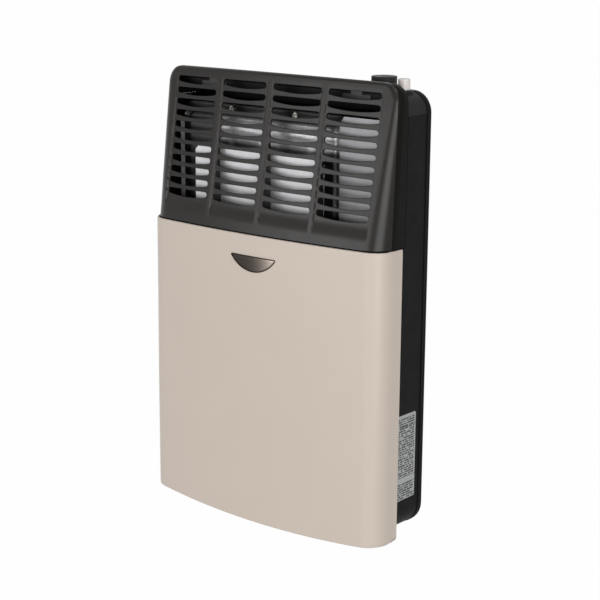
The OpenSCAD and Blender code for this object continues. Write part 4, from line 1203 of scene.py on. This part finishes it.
def build_chamber():
    x0, x1, z0, z1 = CHAMBER
    grow, step = FLANGE_W, 2.4

    def box_distance(x, z, g, r):
        """Distance inside (negative) or outside a rounded rectangle grown by g."""
        cx, cz = (x0 + x1) / 2, (z0 + z1) / 2
        hx, hz = (x1 - x0) / 2 + g - r, (z1 - z0) / 2 + g - r
        dx, dz = abs(x - cx) - hx, abs(z - cz) - hz
        return math.hypot(max(dx, 0), max(dz, 0)) + min(max(dx, dz), 0) - r

    nx = int(round((x1 - x0 + 2 * grow) / step))
    nz = int(round((z1 - z0 + 2 * grow) / step))
    verts, index = [], {}
    for i in range(nx + 1):
        for j in range(nz + 1):
            x = x0 - grow + (x1 - x0 + 2 * grow) * i / nx
            z = z0 - grow + (z1 - z0 + 2 * grow) * j / nz
            d = box_distance(x, z, grow, FLANGE_R)
            if d > step * 0.75:
                continue
            if d > 0:
                # pull the outermost points onto the round corner
                cx = min(max(x, x0 + 4), x1 - 4)
                cz = min(max(z, z0 + 4), z1 - 4)
                away = math.hypot(x - cx, z - cz)
                x, z = cx + (x - cx) * FLANGE_R / away, cz + (z - cz) * FLANGE_R / away
            gd = math.hypot(x - GLASS_X, z - GLASS_Z)
            if gd < GLASS_R + step * 0.7:
                if gd < GLASS_R - step * 0.7:
                    continue
                x = GLASS_X + (x - GLASS_X) * GLASS_R / gd
                z = GLASS_Z + (z - GLASS_Z) * GLASS_R / gd
            inner = box_distance(x, z, 0.0, FACE_R)
            y = FLANGE_Y - FACE_RISE * (1 - float(smooth(-4.2, 0.2, inner)))
            for fx in FLUTE_XS:
                dx = abs(x - fx)
                if dx < FLUTE_HALF:
                    shape = 1 - (dx / FLUTE_HALF) ** 2
                    shape = shape * shape * (3 - 2 * shape)
                    ends = float(smooth(*FLUTE_FOOT, z) * (1 - smooth(*FLUTE_HEAD, z)))
                    y -= FLUTE_RISE * shape * ends
            index[(i, j)] = len(verts)
            verts.append((x, y, z))
    faces = []
    for (i, j) in list(index):
        quad = [(i, j), (i + 1, j), (i + 1, j + 1), (i, j + 1)]
        if all(q in index for q in quad):
            faces.append(tuple(index[q] for q in quad))
    ob = add_piece("chamber_face", verts, faces, "enamel", replaces=["chamber_front"], slot="heat_enamel")
    thicken(ob, 0.001)
    weighted(ob)


build_chamber()

# -------- light and floor


def area_light(name, azimuth, elevation, distance, size, power):
    """Soft box facing the heater, seen from it at an azimuth and elevation."""
    data = bpy.data.lights.new(name, "AREA")
    data.shape = "RECTANGLE"
    data.size, data.size_y = size
    data.energy = power
    ob = add_object(name, data)
    place = towards(azimuth, elevation) * distance
    ob.location = place
    ob.rotation_euler = (-place).to_track_quat("-Z", "Y").to_euler()


area_light("key", -14, 5, 3.3, (3.2, 1.1), 44)
area_light("fill", 54, 2, 3.2, (1.8, 1.0), 36)
area_light("upper_side", 78, 52, 3.2, (1.6, 1.6), 22)


SURROUND_LIGHT = 0.25
WHITE = {"Color": (1, 1, 1, 1), "Strength": 1.0}
FLOOR_HALF, FLOOR_Z = 30.0, -1.1
FLOOR_WHITE_SHARE = 0.985  # the rest of what the camera sees of the floor keeps the shadow


def white_where_seen(n):
    """1 for rays from the camera, from mirrors and through glass, 0 for the others."""
    path = n.add("ShaderNodeLightPath").outputs
    seen = path["Is Camera Ray"]
    for ray in ("Is Glossy Ray", "Is Transmission Ray"):
        seen = n.math("MAXIMUM", seen, path[ray])
    return seen


def mix_into(n, factor, first, second, output):
    mix = n.add("ShaderNodeMixShader", enumerate((factor, first.outputs[0], second.outputs[0])))
    n.feed(n.tree.nodes[output], {"Surface": mix.outputs[0]})


def build_world():
    SCENE.world = bpy.data.worlds.new("world")
    n = Nodes(SCENE.world)
    lit = n.feed(n.tree.nodes["Background"], {**WHITE, "Strength": SURROUND_LIGHT})
    mix_into(n, white_where_seen(n), lit, n.add("ShaderNodeBackground", WHITE), "World Output")


def build_floor():
    mesh = bpy.data.meshes.new("floor")
    corners = [(-1, -1), (1, -1), (1, 1), (-1, 1)]
    mesh.from_pydata([(x * FLOOR_HALF, y * FLOOR_HALF, FLOOR_Z) for x, y in corners], [], [(0, 1, 2, 3)])
    floor = add_object("floor", mesh)
    n = Nodes(bpy.data.materials.new("floor_white"))
    n.set(Base_Color=(0.86, 0.86, 0.86, 1), Roughness=0.9)
    share = n.math("MULTIPLY", white_where_seen(n), FLOOR_WHITE_SHARE)
    bsdf = n.tree.nodes["Principled BSDF"]
    mix_into(n, share, bsdf, n.add("ShaderNodeEmission", WHITE), "Material Output")
    mesh.materials.append(n.owner)


build_world()
build_floor()

SCENE.view_settings.view_transform = "Standard"
